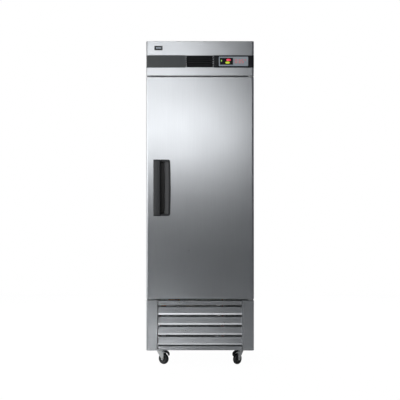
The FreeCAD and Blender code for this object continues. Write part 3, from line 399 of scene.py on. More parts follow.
# %% Outlines
PLAN = np.array([[1, 0, 0], [0, 1, 0], [0, 0, 1]])       # u, v, w are X, Y, Z: an outline seen from above
FACING = np.array([[1, 0, 0], [0, 0, -1], [0, 1, 0]])    # u, v are X, Z and w comes forward
BACKING = np.array([[1, 0, 0], [0, 0, 1], [0, 1, 0]])    # u, v are X, Z and w goes back
ASIDE = np.array([[0, 0, 1], [1, 0, 0], [0, 1, 0]])      # u, v are Y, Z and w is X


def outline(corners, steps=6):
    """Points (u, v) of an outline whose corners (u, v, radius) are rounded.

    The arc at a corner touches its sides at radius / tan(half their angle) from it. A radius of 0 leaves one
    point.
    """
    at = [np.array(corner[:2], float) for corner in corners]
    points = []
    for i, (_, _, radius) in enumerate(corners):
        if radius == 0:
            points.append(at[i][None])
            continue
        back, on = [(at[j % len(at)] - at[i]) for j in (i - 1, i + 1)]
        back, on = back / np.linalg.norm(back), on / np.linalg.norm(on)
        half = math.acos(np.clip(back @ on, -1, 1)) / 2
        middle = at[i] + (back + on) / np.linalg.norm(back + on) * radius / math.sin(half)
        start, end = [at[i] + side * radius / math.tan(half) - middle for side in (back, on)]
        turn = math.atan2(start[0] * end[1] - start[1] * end[0], start @ end)
        angle = math.atan2(start[1], start[0]) + turn * np.linspace(0, 1, steps + 1)
        points.append(middle + radius * np.stack([np.cos(angle), np.sin(angle)], 1))
    return np.concatenate(points)


def mitres(points, closed=True):
    """The step at each point that moves both its sides outwards by 1: (n1 + n2) / (1 + n1 . n2)."""
    along = np.roll(points, -1, axis=0) - points
    if not closed:
        along[-1] = along[-2]
    normal = np.stack([along[:, 1], -along[:, 0]], 1) / np.linalg.norm(along, axis=1)[:, None]
    before = np.roll(normal, 1, axis=0)
    if not closed:
        before[0] = normal[0]
    return (before + normal) / (1 + (before * normal).sum(1))[:, None]


def stack(shape, stations):
    """Rings of one outline: for each (inset, height), it is drawn in by inset and stands at height."""
    inset, height = np.array(stations, float).T
    flat = shape[None] - mitres(shape)[None] * inset[:, None, None]
    tall = np.broadcast_to(height[:, None, None], (*flat.shape[:2], 1))
    return np.concatenate([flat, tall], -1)


def soft(low, high, top, bottom=0.0, steps=4):
    """Stations up a side from low to high, with a quarter round of radius top above and bottom below."""
    turn = np.linspace(0, math.pi / 2, steps + 1)
    upper = np.stack([top * (1 - np.cos(turn)), high - top + top * np.sin(turn)], 1)
    lower = np.stack([bottom * (1 - np.sin(turn)), low + bottom * (1 - np.cos(turn))], 1)
    return np.concatenate([lower if bottom else lower[:1], upper])


def sheet(path, thick):
    """The closed section of a sheet that follows the open path, with its thickness to the left."""
    return np.concatenate([path, (path - mitres(path, closed=False) * thick)[::-1]])


def block(u0, u1, v0, v1, radius=0.0):
    """A rectangle's four corners, for outline."""
    return [(u0, v0, radius), (u1, v0, radius), (u1, v1, radius), (u0, v1, radius)]


# %% [markdown]
# A `Surface` gathers grids of points and joins them with quads. Rings may close on themselves, and the
# first and last ring may be capped. Where a window is wanted, its quads are left out. `make` turns the
# arrays into a mesh, merges the points that meet at seams and poles, points the faces outwards, and marks
# the edges that a folded sheet keeps crisp. Weighted normals then keep the flat faces flat next to their
# rounded edges.


# %% Meshes
class Surface:
    """Points in millimetres, in the cabinet's frame, and the faces between them."""

    def __init__(self):
        self.points, self.faces, self.count = [], [], 0

    def grid(self, rings, axes=PLAN, wrap=True, loop=False, caps=(False, False), leave_out=None):
        """Adds quads between rings, (ring, point, 3).

        wrap closes each ring, loop joins the last ring to the first, and leave_out marks quads left out.
        """
        rings = np.asarray(rings, float)
        stations, around = rings.shape[:2]
        index = np.arange(stations * around).reshape(stations, around)
        walk = np.concatenate([index, index[:, :1]], 1) if wrap else index
        walk = np.concatenate([walk, walk[:1]], 0) if loop else walk
        quads = np.stack([walk[:-1, :-1], walk[:-1, 1:], walk[1:, 1:], walk[1:, :-1]], -1)
        keep = np.ones(quads.shape[:2], bool) if leave_out is None else ~leave_out
        self.faces += (quads[keep] + self.count).tolist()
        for wanted, ring in zip(caps, (index[0, ::-1], index[-1])):
            if wanted:
                self.faces.append((ring + self.count).tolist())
        self.points.append(rings.reshape(-1, 3) @ axes.T)
        self.count += stations * around
        return self

    def mirrored(self):
        """Adds the same surface again on the other side of the cabinet."""
        points = np.concatenate(self.points)
        self.faces += [[corner + self.count for corner in face] for face in self.faces]
        self.points = [points, points * [-1, 1, 1]]
        self.count *= 2
        return self


def make(name, surface, body, finish, replaces=(), crease=34):
    """One finished piece: it rides on a body and stands for the CAD nodes it replaces."""
    mesh = bpy.data.meshes.new(name)
    mesh.from_pydata((np.concatenate(surface.points) * MM).tolist(), [], surface.faces)
    tidy = bmesh.new()
    tidy.from_mesh(mesh)
    bmesh.ops.remove_doubles(tidy, verts=tidy.verts, dist=0.002 * MM)
    bmesh.ops.recalc_face_normals(tidy, faces=tidy.faces)
    tidy.to_mesh(mesh)
    tidy.free()
    mesh.shade_smooth()
    mesh.set_sharp_from_angle(angle=math.radians(crease))
    mesh.materials.append(finish)
    piece = bpy.data.objects.new(name, mesh)
    bpy.context.collection.objects.link(piece)
    flat = piece.modifiers.new("flat_faces", "WEIGHTED_NORMAL")
    flat.keep_sharp = True
    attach(piece, body)
    if replaces:
        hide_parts(*replaces)
    print(f"{name}: {len(mesh.vertices)} points, {len(mesh.polygons)} faces")
    return piece


def span(node):
    """A CAD node's lowest and highest corners, in millimetres."""
    low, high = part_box(node)
    return np.array(low) / MM, np.array(high) / MM


# %% [markdown]
# ## The door's skin
#
# The skin is one sheet folded round the door's four sides. Its two front upright corners are bent to a
# radius that can be seen, and its top and bottom are folded almost sharp. So its plan is the outline, and
# it goes up through stations that round off the folds. Two columns and two stations more mark the window
# where the handle is let in.

# %% Door skin
CORNER_R = 14.0
CORNER_STEPS = 10
FOLD_R = 2.0
BACK_GAP = 0.5           # how far a skin's back edge stays short of the designed one
FIRST_COLUMN = CORNER_STEPS + 1     # the first window column comes after the left corner's points

door_low, door_high = span("door_skin")
pocket_low, pocket_high = span("door_handle_pocket")
FRONT = door_low[1]
window_x = (pocket_low[0] + 10, pocket_high[0] - 12)
window_z = (pocket_low[2] + 10, pocket_high[2] - 10)


def front_plan(low, high, columns):
    """A plan with round front corners, from the left one, and with points at the columns along its front."""
    back = high[1] - BACK_GAP
    marks = [(x, low[1], 0.0) for x in columns]
    return outline([(low[0], low[1], CORNER_R), *marks, (high[0], low[1], CORNER_R), (high[0], back, 0.0),
                    (low[0], back, 0.0)], CORNER_STEPS)


plan = front_plan(door_low, door_high, window_x)
heights = soft(door_low[2], door_high[2], FOLD_R, FOLD_R)
middle = len(heights) // 2
heights = np.concatenate([heights[:middle], [[0, window_z[0]], [0, window_z[1]]], heights[middle:]])
window = np.zeros((len(heights) - 1, len(plan)), bool)
window[middle, FIRST_COLUMN] = True
skin = Surface().grid(stack(plan, heights), caps=(True, True), leave_out=window)
make("door_shell", skin, "door", door_steel, ["door_skin"])

# %% [markdown]
# ## The header
#
# The header is made the same way. Its band lies in a shallow recess between the two plain stretches, so the
# outline steps in by the band's depth and out again. The middle of the recess is open behind the vent.

# %% Header panel
BAND_DEEP = 3.0
PRESS_R = 0.8            # the recess is pressed, so its lips are tighter than a fold

header_low, header_high = span("header_panel")
cover_low, cover_high = span("header_blank_cover")
vent_low, vent_high = span("header_vent_grille")
band_z = (cover_low[2] - 0.8, cover_high[2] + 0.8)
vent_opening = (vent_low[0] + 7, vent_high[0] - 7)

plan = front_plan(header_low, header_high, vent_opening)
lower = soft(header_low[2], band_z[0], PRESS_R, FOLD_R)
recess = [[BAND_DEEP, z] for z in (band_z[0], vent_low[2] + 3, vent_high[2] - 3, band_z[1])]
upper = soft(band_z[1], header_high[2], FOLD_R, PRESS_R)
heights = np.concatenate([lower, recess, upper])
window = np.zeros((len(heights) - 1, len(plan)), bool)
window[len(lower) + 1, FIRST_COLUMN] = True
header = Surface().grid(stack(plan, heights), caps=(True, True), leave_out=window)
make("header_shell", header, "root", header_steel, ["header_panel"])

# %% [markdown]
# ## The plastic band
#
# Two covers fill the recess and wrap round the front corners. Each is a strip of even thickness, so its
# plan is the front's outline and back again three millimetres further in. The right one is nearly black and
# carries the control.

# %% Blank cover and control surround
EDGE_R = 0.6             # the covers' own edges, seen from above


def band_piece(near, far):
    """The band's plan from the cabinet's side at X = near round its corner to X = far on the front."""
    side = math.copysign(1, near)
    back, inner = header_high[1] - 2, near - side * BAND_DEEP
    return outline([(near, back, EDGE_R), (near, FRONT, CORNER_R), (far, FRONT, EDGE_R),
                    (far, FRONT + BAND_DEEP, EDGE_R), (inner, FRONT + BAND_DEEP, CORNER_R - BAND_DEEP),
                    (inner, back, EDGE_R)])


band_heights = soft(cover_low[2], cover_high[2], PRESS_R, PRESS_R)
blank = Surface().grid(stack(band_piece(cover_low[0], cover_high[0]), band_heights), caps=(True, True))
make("blank_cover", blank, "root", cover_plastic, ["header_blank_cover"])

surround_low, surround_high = span("control_surround")
right_plan = band_piece(surround_high[0], surround_low[0])[::-1]
surround = Surface().grid(stack(right_plan, band_heights), caps=(True, True))
make("band_surround", surround, "root", surround_plastic, ["control_surround"])


# %% [markdown]
# ## The vent
#
# Five slots lie between slats in a frame, and a blade slopes back from each slat, which keeps fingers and
# dust off. The frame is a ring: its outline goes out, forward, in and back again, so its stations close
# into a loop. A slat is a little outline in side view, stretched across the opening.


# %% Vent grille
def frame_ring(corners, inner_corners, low, high, edge, steps=6):
    """A frame: its section goes up outside, over with rounded edges, down inside, and back."""
    outer, inner = outline(corners, steps), outline(inner_corners, steps)
    width = np.linalg.norm(outer[0] - inner[0])
    turn = np.linspace(0, math.pi / 2, 5)
    rise = np.stack([edge / width * (1 - np.cos(turn)), high - edge + edge * np.sin(turn)], 1)
    fall = np.stack([1 - rise[::-1, 0], rise[::-1, 1]], 1)
    share, height = np.concatenate([[[0, low]], rise, fall, [[1, low]]]).T
    flat = outer[None] + (inner - outer)[None] * share[:, None, None]
    tall = np.broadcast_to(height[:, None, None], (*flat.shape[:2], 1))
    return np.concatenate([flat, tall], -1)


def across(section, x0, x1, edge=0.4):
    """Rings of a side view (y, z) that go from x0 to x1, with softened ends."""
    return stack(section, soft(x0, x1, edge, edge, steps=2))


SLOTS, SLAT_TALL, BORDER, VENT_SUNK = 5, 6.0, 4.5, 0.4

vent = Surface()
vent_x, vent_z = (vent_low[0], vent_high[0]), (vent_low[2], vent_high[2])
inside_x, inside_z = [(low + BORDER, high - BORDER) for low, high in (vent_x, vent_z)]
vent.grid(frame_ring(block(*vent_x, *vent_z, 2.0), block(*inside_x, *inside_z, 1.0), -FRONT - BAND_DEEP,
                     -FRONT - VENT_SUNK, 0.8), FACING, loop=True)
pitch = (inside_z[1] - inside_z[0] + SLAT_TALL) / SLOTS
for number in range(SLOTS):
    slot_top = inside_z[0] - SLAT_TALL + pitch * (number + 1)
    tall = SLAT_TALL if number < SLOTS - 1 else BORDER - 0.5
    slat = outline([(0.2, 0, 1.2), (2.0, 0, 0.8), (13.2, -9.6, 0.5), (14.2, -8.4, 0.5), (3.0, 1.4, 0.5),
                    (3.0, tall, 0.5), (0.2, tall, 1.2)], steps=4)
    rings = across(slat + [FRONT + VENT_SUNK, slot_top], inside_x[0] - 1, inside_x[1] + 1)
    vent.grid(rings, ASIDE, caps=(True, True))
make("vent_grille", vent, "root", grille_plastic, ["header_vent_grille"])

# %% [markdown]
# ## The control panel
#
# The control is a blue-grey bezel around two openings. On its left a black gloss window holds three lamps,
# and on its right a sunk field holds the temperature. The bezel is a frame ring again, with a rounded bar
# between the openings.

# %% Bezel and window
bezel_low, bezel_high = span("control_bezel")
glass_low, glass_high = span("indicator_window")
GLASS_GAP, BAR_WIDE, SETTING = 0.3, 5.0, 0.3      # SETTING is how far the bezel is set into the band

opening_x = (glass_low[0] - GLASS_GAP, bezel_high[0] - 7)
opening_z = (glass_low[2] - GLASS_GAP, glass_high[2] + GLASS_GAP)
bar_x = (glass_high[0] + GLASS_GAP, glass_high[0] + GLASS_GAP + BAR_WIDE)
behind_z = (opening_z[0] - 1, opening_z[1] + 1)
bezel_base, bezel_top, field_top = -FRONT - SETTING, -bezel_low[1], -bezel_low[1] - 0.9

bezel = Surface()
rim = block(bezel_low[0], bezel_high[0], bezel_low[2], bezel_high[2], 4.0)
bezel.grid(frame_ring(rim, block(*opening_x, *opening_z, 1.2), bezel_base, bezel_top, 0.9), FACING, loop=True)
bar = outline(block(*bar_x, *behind_z, 0.3))
bezel.grid(stack(bar, soft(bezel_base, bezel_top - 0.1, 0.7)), FACING, caps=(True, True))
field = outline(block(bar_x[1] - 1, opening_x[1] + 1, *behind_z, 0.3))
bezel.grid(stack(field, soft(bezel_base, field_top, 0.2)), FACING, caps=(True, True))
make("bezel_frame", bezel, "root", bezel_plastic, ["control_bezel"])

glass = Surface().grid(stack(outline(block(glass_low[0], glass_high[0], glass_low[2], glass_high[2], 1.0)),
                             soft(-glass_high[1], -glass_low[1], 0.4)), FACING, caps=(True, True))
make("lamp_window", glass, "root", window_gloss, ["indicator_window"])


# %% [markdown]
# The lamps are oval lenses. A lens is its rim's outline drawn in towards the middle while it rises, as a
# quarter of an ellipse does, so it starts steep and ends flat.


# %% Lamps
def lens(middle_u, middle_v, half_u, half_v, low, rise, around=40, steps=8):
    """Rings of an oval dome: at angle t up its side it is cos t as wide and rise * sin t high."""
    angle = np.linspace(0, 2 * math.pi, around, endpoint=False)
    turn = np.linspace(0, math.pi / 2, steps)[:, None]
    u = middle_u + half_u * np.cos(turn) * np.cos(angle)
    v = middle_v + half_v * np.cos(turn) * np.sin(angle)
    w = low + rise * np.sin(turn) + 0 * angle
    return np.stack([u, v, w], -1)


window_top = -glass_low[1]
window_mid = (glass_low[2] + glass_high[2]) / 2
for name, finish, x, z, half_x, half_z in (("lamp_red", red_lamp, 56.0, 8.6, 15.5, 8.0),
                                           ("lamp_lime", lime_lamp, 50.0, -8.6, 15.0, 7.4),
                                           ("lamp_green", green_lamp, 10.0, 3.5, 4.0, 6.0)):
    dome = lens(glass_low[0] + x, window_mid + z, half_x, half_z, window_top - 0.2, 1.8)
    make(name, Surface().grid(dome, FACING, caps=(True, False)), "root", finish)


# %% [markdown]
# The temperature is in seven-segment figures, with a point and a degree ring. A segment is a thin bar with
# pointed ends, and a figure is named by which of its seven segments are lit.


# %% Display
LIT = {"0": "abcdef", "3": "abcdg", "5": "acdfg"}
FIGURE_W, FIGURE_H, BAR, FIGURE_STEP = 13.0, 24.0, 2.6, 21.0
FIRST_AT, POINT_AT, DEGREE_AT = -1.35, 0.15, 1.55      # in steps from the middle of the field


def segment_places(width, height):
    """Where each segment's middle is, from the figure's middle, and whether it stands upright."""
    half_w, half_h = width / 2, height / 2
    return {"a": (0, half_h, False), "b": (half_w, half_h / 2, True), "c": (half_w, -half_h / 2, True),
            "d": (0, -half_h, False), "e": (-half_w, -half_h / 2, True), "f": (-half_w, half_h / 2, True),
            "g": (0, 0, False)}


def bar_outline(u, v, upright, length):
    """A bar with pointed ends, about (u, v)."""
    half, tip = BAR / 2, length / 2 - 0.5
    points = np.array([(-tip, 0), (-tip + half, -half), (tip - half, -half), (tip, 0), (tip - half, half),
                       (-tip + half, half)])
    return (points[:, ::-1] * [-1, 1] if upright else points) + [u, v]


figures = Surface()
field_mid = (bar_x[1] + opening_x[1]) / 2
glyph_low, glyph_high = field_top - 0.1, field_top + 0.35
for number, letter in enumerate("035"):
    middle_u = field_mid + (number + FIRST_AT) * FIGURE_STEP
    for segment, (u, v, upright) in segment_places(FIGURE_W - BAR, FIGURE_H - BAR).items():
        if segment in LIT[letter]:
            length = (FIGURE_H - BAR) / 2 if upright else FIGURE_W - BAR
            bar = bar_outline(middle_u + u, window_mid + v, upright, length)
            figures.grid(stack(bar, soft(glyph_low, glyph_high, 0.15, steps=2)), FACING, caps=(True, True))
point_u = field_mid + POINT_AT * FIGURE_STEP
point = lens(point_u, window_mid - FIGURE_H / 2 + 1, 1.5, 1.5, glyph_low, 0.5, around=16, steps=4)
figures.grid(point, FACING)
DEGREE_R = 3.6
degree_at = [field_mid + DEGREE_AT * FIGURE_STEP, window_mid + FIGURE_H / 2 - DEGREE_R]
degree = outline(block(-DEGREE_R, DEGREE_R, -DEGREE_R, DEGREE_R, DEGREE_R - 0.1)) + degree_at
ring_section = [(0, glyph_low), (0, glyph_high), (2.0, glyph_high), (2.0, glyph_low)]
figures.grid(stack(degree, ring_section), FACING, loop=True)
make("display_figures", figures, "root", digit_lamp)

# %% [markdown]
# ## The nameplate
#
# A blank plate with a raised dark rim and a pale field, which is made of the bezel's plastic.

# %% Nameplate
plate_low, plate_high = span("nameplate")
plate = block(plate_low[0], plate_high[0], plate_low[2], plate_high[2], 1.6)
edge = 9.5
field = block(plate_low[0] + edge, plate_high[0] - edge, plate_low[2] + edge, plate_high[2] - edge, 0.8)
badge = Surface().grid(frame_ring(plate, field, -FRONT - 0.2, -plate_low[1], 0.5), FACING, loop=True)
make("nameplate_rim", badge, "root", black_plastic, ["nameplate"])
field_rings = stack(outline(field), [(-0.2, -FRONT - 0.2), (-0.2, -plate_low[1] - 0.5)])
badge_field = Surface().grid(field_rings, FACING, caps=(True, True))
make("nameplate_field", badge_field, "root", bezel_plastic)

# %% [markdown]
# ## The door handle
#
# A black moulding is let into the door: a low rim round a finger pocket. The pocket's right wall curves in
# like the inside of a spoon, so that fingers slide round it, and a grip bar covers the left half. The
# moulding is one run of rounded outlines: up the rim's outside, over its edge, and down the wall to the
# floor. How far the right wall has come in at each depth is itself an outline seen from above: a shallow
# scoop that ends in a steep drop. The run is made as two pieces that meet inside the lip, the rim and the
# pocket, because the pocket carries painted light: a painted highlight makes it lighter than the rim at the
# mouth, and painted shade darkens it with depth.

# %% Handle pocket
GRIP_WIDE, SIDE_BOW = 46.0, 7.0
RIM_R, RIM_CORNER, MOUTH_CORNER, LEFT_CORNER = 1.8, 14.0, 9.0, 3.0
LEFT_IN, RIGHT_IN, END_IN = 18, 12, 12     # how far the mouth is inside the rim, at each side and end

rim_x0, rim_x1 = pocket_low[0], pocket_high[0]
rim_z0, rim_z1 = pocket_low[2], pocket_high[2]
rim_top = -pocket_low[1]
pocket_floor = -pocket_high[1] + 4


def bowed(x0, x1, z0, z1, radius, bow):
    """An outline with round corners whose right side bows out by bow at its middle.

    The bow is an arc that takes up most of the room between the corners: radius * bow / half is its reach.
    """
    half = (z1 - z0) / 2
    gentle = 0.9 * (half - radius) * half / bow
    return outline([(x0, z0, LEFT_CORNER), (x1 - bow, z0, radius), (x1, (z0 + z1) / 2, gentle),
                    (x1 - bow, z1, radius), (x0, z1, LEFT_CORNER)], steps=8)


def at_height(shape, height):
    """The outline as one ring at a height."""
    return np.concatenate([shape, np.full((len(shape), 1), height)], 1)


outside = bowed(rim_x0, rim_x1 + 0.6, rim_z0, rim_z1, RIM_CORNER, SIDE_BOW)
mouth_x, lip_foot = rim_x1 - RIGHT_IN, rim_top - RIM_R
mouth = bowed(rim_x0 + LEFT_IN, mouth_x, rim_z0 + END_IN, rim_z1 - END_IN, MOUTH_CORNER, SIDE_BOW - 1)
lip = soft(lip_foot, rim_top, RIM_R)[::-1]
rings = np.concatenate([stack(outside, soft(-FRONT - 1, rim_top, RIM_R)), stack(mouth, lip * [-1, 1])[:-1]])
rim = Surface().grid(rings, FACING)
make("handle_rim", rim, "door", handle_plastic, ["door_handle_pocket"], crease=40)

scoop = outline([(mouth_x, lip_foot, 0), (mouth_x - 3, lip_foot - 5, 5.0), (mouth_x - 29, rim_top - 15, 7.0),
                 (mouth_x - 33, pocket_floor, 0)], steps=7)
walls = [rings[-1]]
for right, height in scoop[1:]:
    sunk = (lip_foot - height) / (lip_foot - pocket_floor)
    left, draft = rim_x0 + LEFT_IN + 6 * sunk ** 3, END_IN + 5 * sunk
    bow = 0.2 + (SIDE_BOW - 1.2) * (1 - sunk)
    walls.append(at_height(bowed(left, right, rim_z0 + draft, rim_z1 - draft, MOUTH_CORNER, bow), height))
pocket = Surface().grid(walls, FACING, caps=(False, True))
# painted highlight and painted shade: the pocket is lighter than the rim's plastic at its mouth and darkens
# to near black at its floor
pocket_highlight_and_shade = plastic_with_painted_shade("pocket_highlight_and_shade", (0.105, 0.108, 0.114), 0.42, 6 - rim_top, -pocket_floor - 3)
make("handle_pocket", pocket, "door", pocket_highlight_and_shade, crease=40)

# %% [markdown]
# The grip bar's face rises from the left as 1 - (1 - s)^2.3 does, so it is nearly flat where it ends in a
# rounded nose over the pocket. Its left flank is ribbed for the thumb: the ribs are a cosine that fades in
# and out along s. Towards the two ends the whole section sinks along a quarter of an ellipse.

# %% Handle grip
grip_low, grip_high = span("door_handle_grip")
grip_base = -grip_high[1]
grip_tall = grip_high[1] - grip_low[1]
FACE_LOW, NOSE_W, NOSE_DROP = 5.0, 6.0, 7.0
RIB_PITCH, RIB_DEEP = 3.4, 0.45
END_LONG = 7.0

crown_w = GRIP_WIDE - NOSE_W
s = np.linspace(0, 1, 112)
rise = grip_tall - (grip_tall - FACE_LOW) * (1 - s) ** 2.3
ribbed = np.clip((s - 0.04) / 0.06, 0, 1) * np.clip((0.52 - s) / 0.08, 0, 1)
ribs = RIB_DEEP * ribbed * (0.5 - 0.5 * np.cos(2 * math.pi * s * crown_w / RIB_PITCH))
nose = np.linspace(0, math.pi / 2, 9)[1:]
profile_x = np.concatenate([[0.0], s * crown_w, crown_w + NOSE_W * np.sin(nose), [GRIP_WIDE]])
profile_h = np.concatenate([[0.0], rise - ribs, grip_tall - NOSE_DROP * (1 - np.cos(nose)), [0.0]])

turn = np.linspace(0, math.pi / 2, 7)
end_z, end_share = END_LONG * (1 - np.cos(turn)), 0.35 + 0.65 * np.sin(turn)
z = np.concatenate([grip_low[2] + end_z, grip_high[2] - end_z[::-1]])[:, None]
share = np.concatenate([end_share, end_share[::-1]])[:, None]
tall = grip_base - 0.5 + (profile_h + 0.5) * share
bar = np.stack([grip_low[0] + profile_x + 0 * z, z + 0 * profile_x, tall], -1)
grip = Surface().grid(bar, FACING, caps=(True, True))
make("handle_grip", grip, "door", handle_plastic, ["door_handle_grip"], crease=50)

# %% [markdown]
# ## The lower front
#
# Two folded posts stand either side of a louvred grille. A post is a plan with one round corner. The
# grille's rails and louvres are folded sheet: an open path in side view is given a thickness, and the sheet
# is stretched from side to side. Each louvre comes down from behind, turns over a soft nose and hooks back
# under.

# %% Corner posts and grille
posts_low, posts_high = span("corner_posts")
grille_low, grille_high = span("front_grille")
post_in = grille_high[0] + 2
post_back = posts_high[1] - BACK_GAP
post_plan = outline([(post_in, FRONT, 1.5), (posts_high[0], FRONT, CORNER_R), (posts_high[0], post_back, 0.0),
                     (post_in, post_back, 0.0)], CORNER_STEPS)
post_rings = stack(post_plan, soft(posts_low[2], posts_high[2], 1.5, 1.5))
posts = Surface().grid(post_rings, caps=(True, True)).mirrored()
make("front_posts", posts, "root", grille_steel, ["corner_posts"])

METAL = 1.2
RAIL_TALL, RAIL_LOW_TALL = 29.0, 26.0
LOUVRES, LOUVRE_PITCH, FIRST_NOSE = 4, 65.2, 57.4      # the first nose is this far under the upper rail
face, half = grille_low[1], grille_high[0]
rail_top, rail_low = grille_high[2], grille_low[2]
gap_z = (rail_low + RAIL_LOW_TALL, rail_top - RAIL_TALL)


def fold(points, steps=5):
    """An open path whose inner corners are rounded."""
    ends = [(*points[0][:2], 0.0), (*points[-1][:2], 0.0)]
    return outline([ends[0], *points[1:-1], ends[1]], steps)


grille = Surface()
top_rail = [(face + 26, rail_top), (face, rail_top, 2.2), (face, gap_z[1], 2.2), (face + 10, gap_z[1])]
low_rail = [(face + 10, gap_z[0]), (face, gap_z[0], 2.2), (face, rail_low, 2.2), (face + 26, rail_low)]
for rail in (fold(top_rail), fold(low_rail)):
    grille.grid(across(sheet(rail, METAL), -half, half, 0.3), ASIDE, caps=(True, True))
for number in range(LOUVRES):
    nose_z = gap_z[1] - FIRST_NOSE - LOUVRE_PITCH * number
    blade = fold([(face + 25, nose_z + 46.5), (face + 3.4, nose_z + 6.5, 5.0),
                  (face + 0.2, nose_z - 4.5, 2.4), (face + 3.2, nose_z - 7.4, 1.6),
                  (face + 11, nose_z - 7.6)])
    grille.grid(across(sheet(blade, METAL), -half + 3, half - 3, 0.3), ASIDE, caps=(True, True))
for side in (-1, 1):
    cheek = outline(block(side * (half - 2) - 2, side * (half - 2) + 2, face, face + 26, 0.8))
    grille.grid(stack(cheek, [(0, rail_low + 1), (0, rail_top - 1)]), caps=(True, True))
make("louvred_grille", grille, "root", grille_steel, ["front_grille"])

# %% [markdown]
# ## The gasket
#
# A magnetic gasket is one extruded bellows, cut to four lengths that are welded at the corners. Here its
# section is a loop of (inset, height) stations round the door, so the mitred corners come by themselves.

# %% Door gasket
GASKET_WIDE = 20.0
gasket_low, gasket_high = span("door_gasket")
half_bellows = np.array([(0.5, 0.1), (0, 1.6), (0.6, 3.0), (3.4, 3.8), (4.2, 5.4), (3.4, 7.0), (1.4, 7.8),
                         (0.9, 9.4), (1.6, 11.0), (3.6, 11.6)])
bellows = np.concatenate([half_bellows, half_bellows[::-1] * [-1, 1] + [GASKET_WIDE, 0]])
seal_plan = outline(block(gasket_low[0], gasket_high[0], gasket_low[2], gasket_high[2]))
seal = Surface().grid(stack(seal_plan, bellows + [0, gasket_low[1]]), BACKING, loop=True)
make("door_seal", seal, "door", gasket_rubber, ["door_gasket"], crease=48)

# %% [markdown]
# ## Hinges and switch
#
# Each hinge bracket is a leaf with a rounded nose, a post and a fixed pin. Turned parts such as the pin and
# the switch's plunger are a profile of (radius, height) carried round an axis.


# %% Turned parts and hinge brackets
def turned(profile, centre, axis, around=32):
    """Rings of a turned part: its profile (radius, height) is carried round the axis through centre."""
    axis = np.array(axis, float) / np.linalg.norm(axis)
    first = np.cross(axis, [0, 0, 1] if abs(axis[2]) < 0.9 else [1, 0, 0])
    first /= np.linalg.norm(first)
    second = np.cross(axis, first)
    radius, height = np.array(profile, float).T[:, :, None, None]
    angle = np.linspace(0, 2 * math.pi, around, endpoint=False)[None, :, None]
    return np.array(centre) + axis * height + radius * (np.cos(angle) * first + np.sin(angle) * second)


def joint_axis(name):
    """A joint's point in millimetres and its unit direction."""
    return np.array(JOINTS[name]["pos_m"]) / MM, np.array(JOINTS[name]["axis"], float)


pin_x, pin_y = joint_axis("door_hinge")[0][:2]
hinge_low, hinge_high = span("hinge_brackets")
LEAF_HALF, LEAF_THICK, PIN_R, POST_THICK = 15.0, 4.0, 5.0, 3.0
leaf_back = hinge_high[1]
leaf_nose = hinge_low[1]
brackets = Surface()
for leaf_z, post_z0, post_z1, pin_z0, pin_z1 in (
        (door_high[2] + 2.2, door_high[2] + 2.2, hinge_high[2], door_high[2] - 22, door_high[2] + 3),
        (door_low[2] - 6.0, hinge_low[2], door_low[2] - 2.0, door_low[2] - 3, door_low[2] + 30)):
    leaf = outline([(pin_x - LEAF_HALF, leaf_nose, 9.0), (pin_x + LEAF_HALF, leaf_nose, 9.0),
                    (pin_x + LEAF_HALF, leaf_back, 0.6), (pin_x - LEAF_HALF, leaf_back, 0.6)], steps=8)
    brackets.grid(stack(leaf, soft(leaf_z, leaf_z + LEAF_THICK, 0.6, 0.6)), caps=(True, True))
    post = outline(block(pin_x - LEAF_HALF, pin_x + LEAF_HALF, leaf_back - POST_THICK, leaf_back, 0.6))
    brackets.grid(stack(post, soft(post_z0, post_z1, 1.0, 1.0)), caps=(True, True))
    brackets.grid(turned([(0, pin_z0), (PIN_R - 0.8, pin_z0), (PIN_R, pin_z0 + 0.8), (PIN_R, pin_z1 - 0.8),
                          (PIN_R - 0.8, pin_z1), (0, pin_z1)], (pin_x, pin_y, 0), (0, 0, 1)))
make("hinge_leaves", brackets, "root", zinc, ["hinge_brackets"])

plunger_low, plunger_high = span("door_switch_plunger")
plunger_mid = (plunger_low + plunger_high) / 2
plunger_r = (plunger_high[0] - plunger_low[0]) / 2
turn = np.linspace(0, math.pi / 2, 7)
tip = np.stack([plunger_r * np.sin(turn), 3.0 * (1 - np.cos(turn))], 1)
plunger_long = plunger_high[1] - plunger_low[1]
stem = np.concatenate([tip, [(plunger_r, plunger_long), (0, plunger_long)]])
plunger = Surface().grid(turned(stem, (plunger_mid[0], plunger_low[1], plunger_mid[2]), (0, 1, 0)))
make("switch_plunger", plunger, "door_switch_plunger", white_plastic,
     ["door_switch_plunger"])

# %% [markdown]
# ## The casters
#
# Each wheel is turned about its own axle: the axle's place and direction come from the joint that it rolls
# on. The tyre has a crowned tread and round shoulders, and the hub a dished web with a boss. The fork is
# pressed steel: a round crown and two legs that taper to the axle. Its legs are outlines in the plane of
# rolling, given a thickness along the axle, and (forward, up, across) are the fork's own directions.

# %% Wheels
WHEEL_R, WHEEL_HALF, CORE_R, AXLE_R = 36.0, 12.0, 24.0, 4.0
CORNERS = ("front_left", "front_right", "rear_left", "rear_right")
tread = np.linspace(-1, 1, 9)
crown = [(WHEEL_R - 1.4 * abs(t) ** 3, 8.0 * t) for t in tread]
shoulder = [(WHEEL_R - 2.6, 10.4), (WHEEL_R - 5.5, 11.8), (CORE_R + 2.5, WHEEL_HALF), (CORE_R, 11.2)]
tyre_section = [(r, -h) for r, h in shoulder[::-1]] + crown + shoulder
web = [(AXLE_R + 0.2, 13.4), (7.2, 13.4), (8.0, 12.6), (8.6, 9.2), (11, 7.6), (19, 7.4), (21.2, 8.6),
       (22, 10.6), (CORE_R - 0.4, 11.0), (CORE_R, 10.4)]
hub_section = [(r, -h) for r, h in web] + web[::-1]
for corner in CORNERS:
    centre, axis = joint_axis("roll_" + corner)
    tyre = Surface().grid(turned(tyre_section, centre, axis, 72), loop=True)
    make("tyre_" + corner, tyre, "wheel_" + corner, tyre_rubber, ["caster_wheel_" + corner])
    hub = Surface().grid(turned(hub_section, centre, axis, 56), loop=True)
    make("hub_" + corner, hub, "wheel_" + corner, hub_plastic)

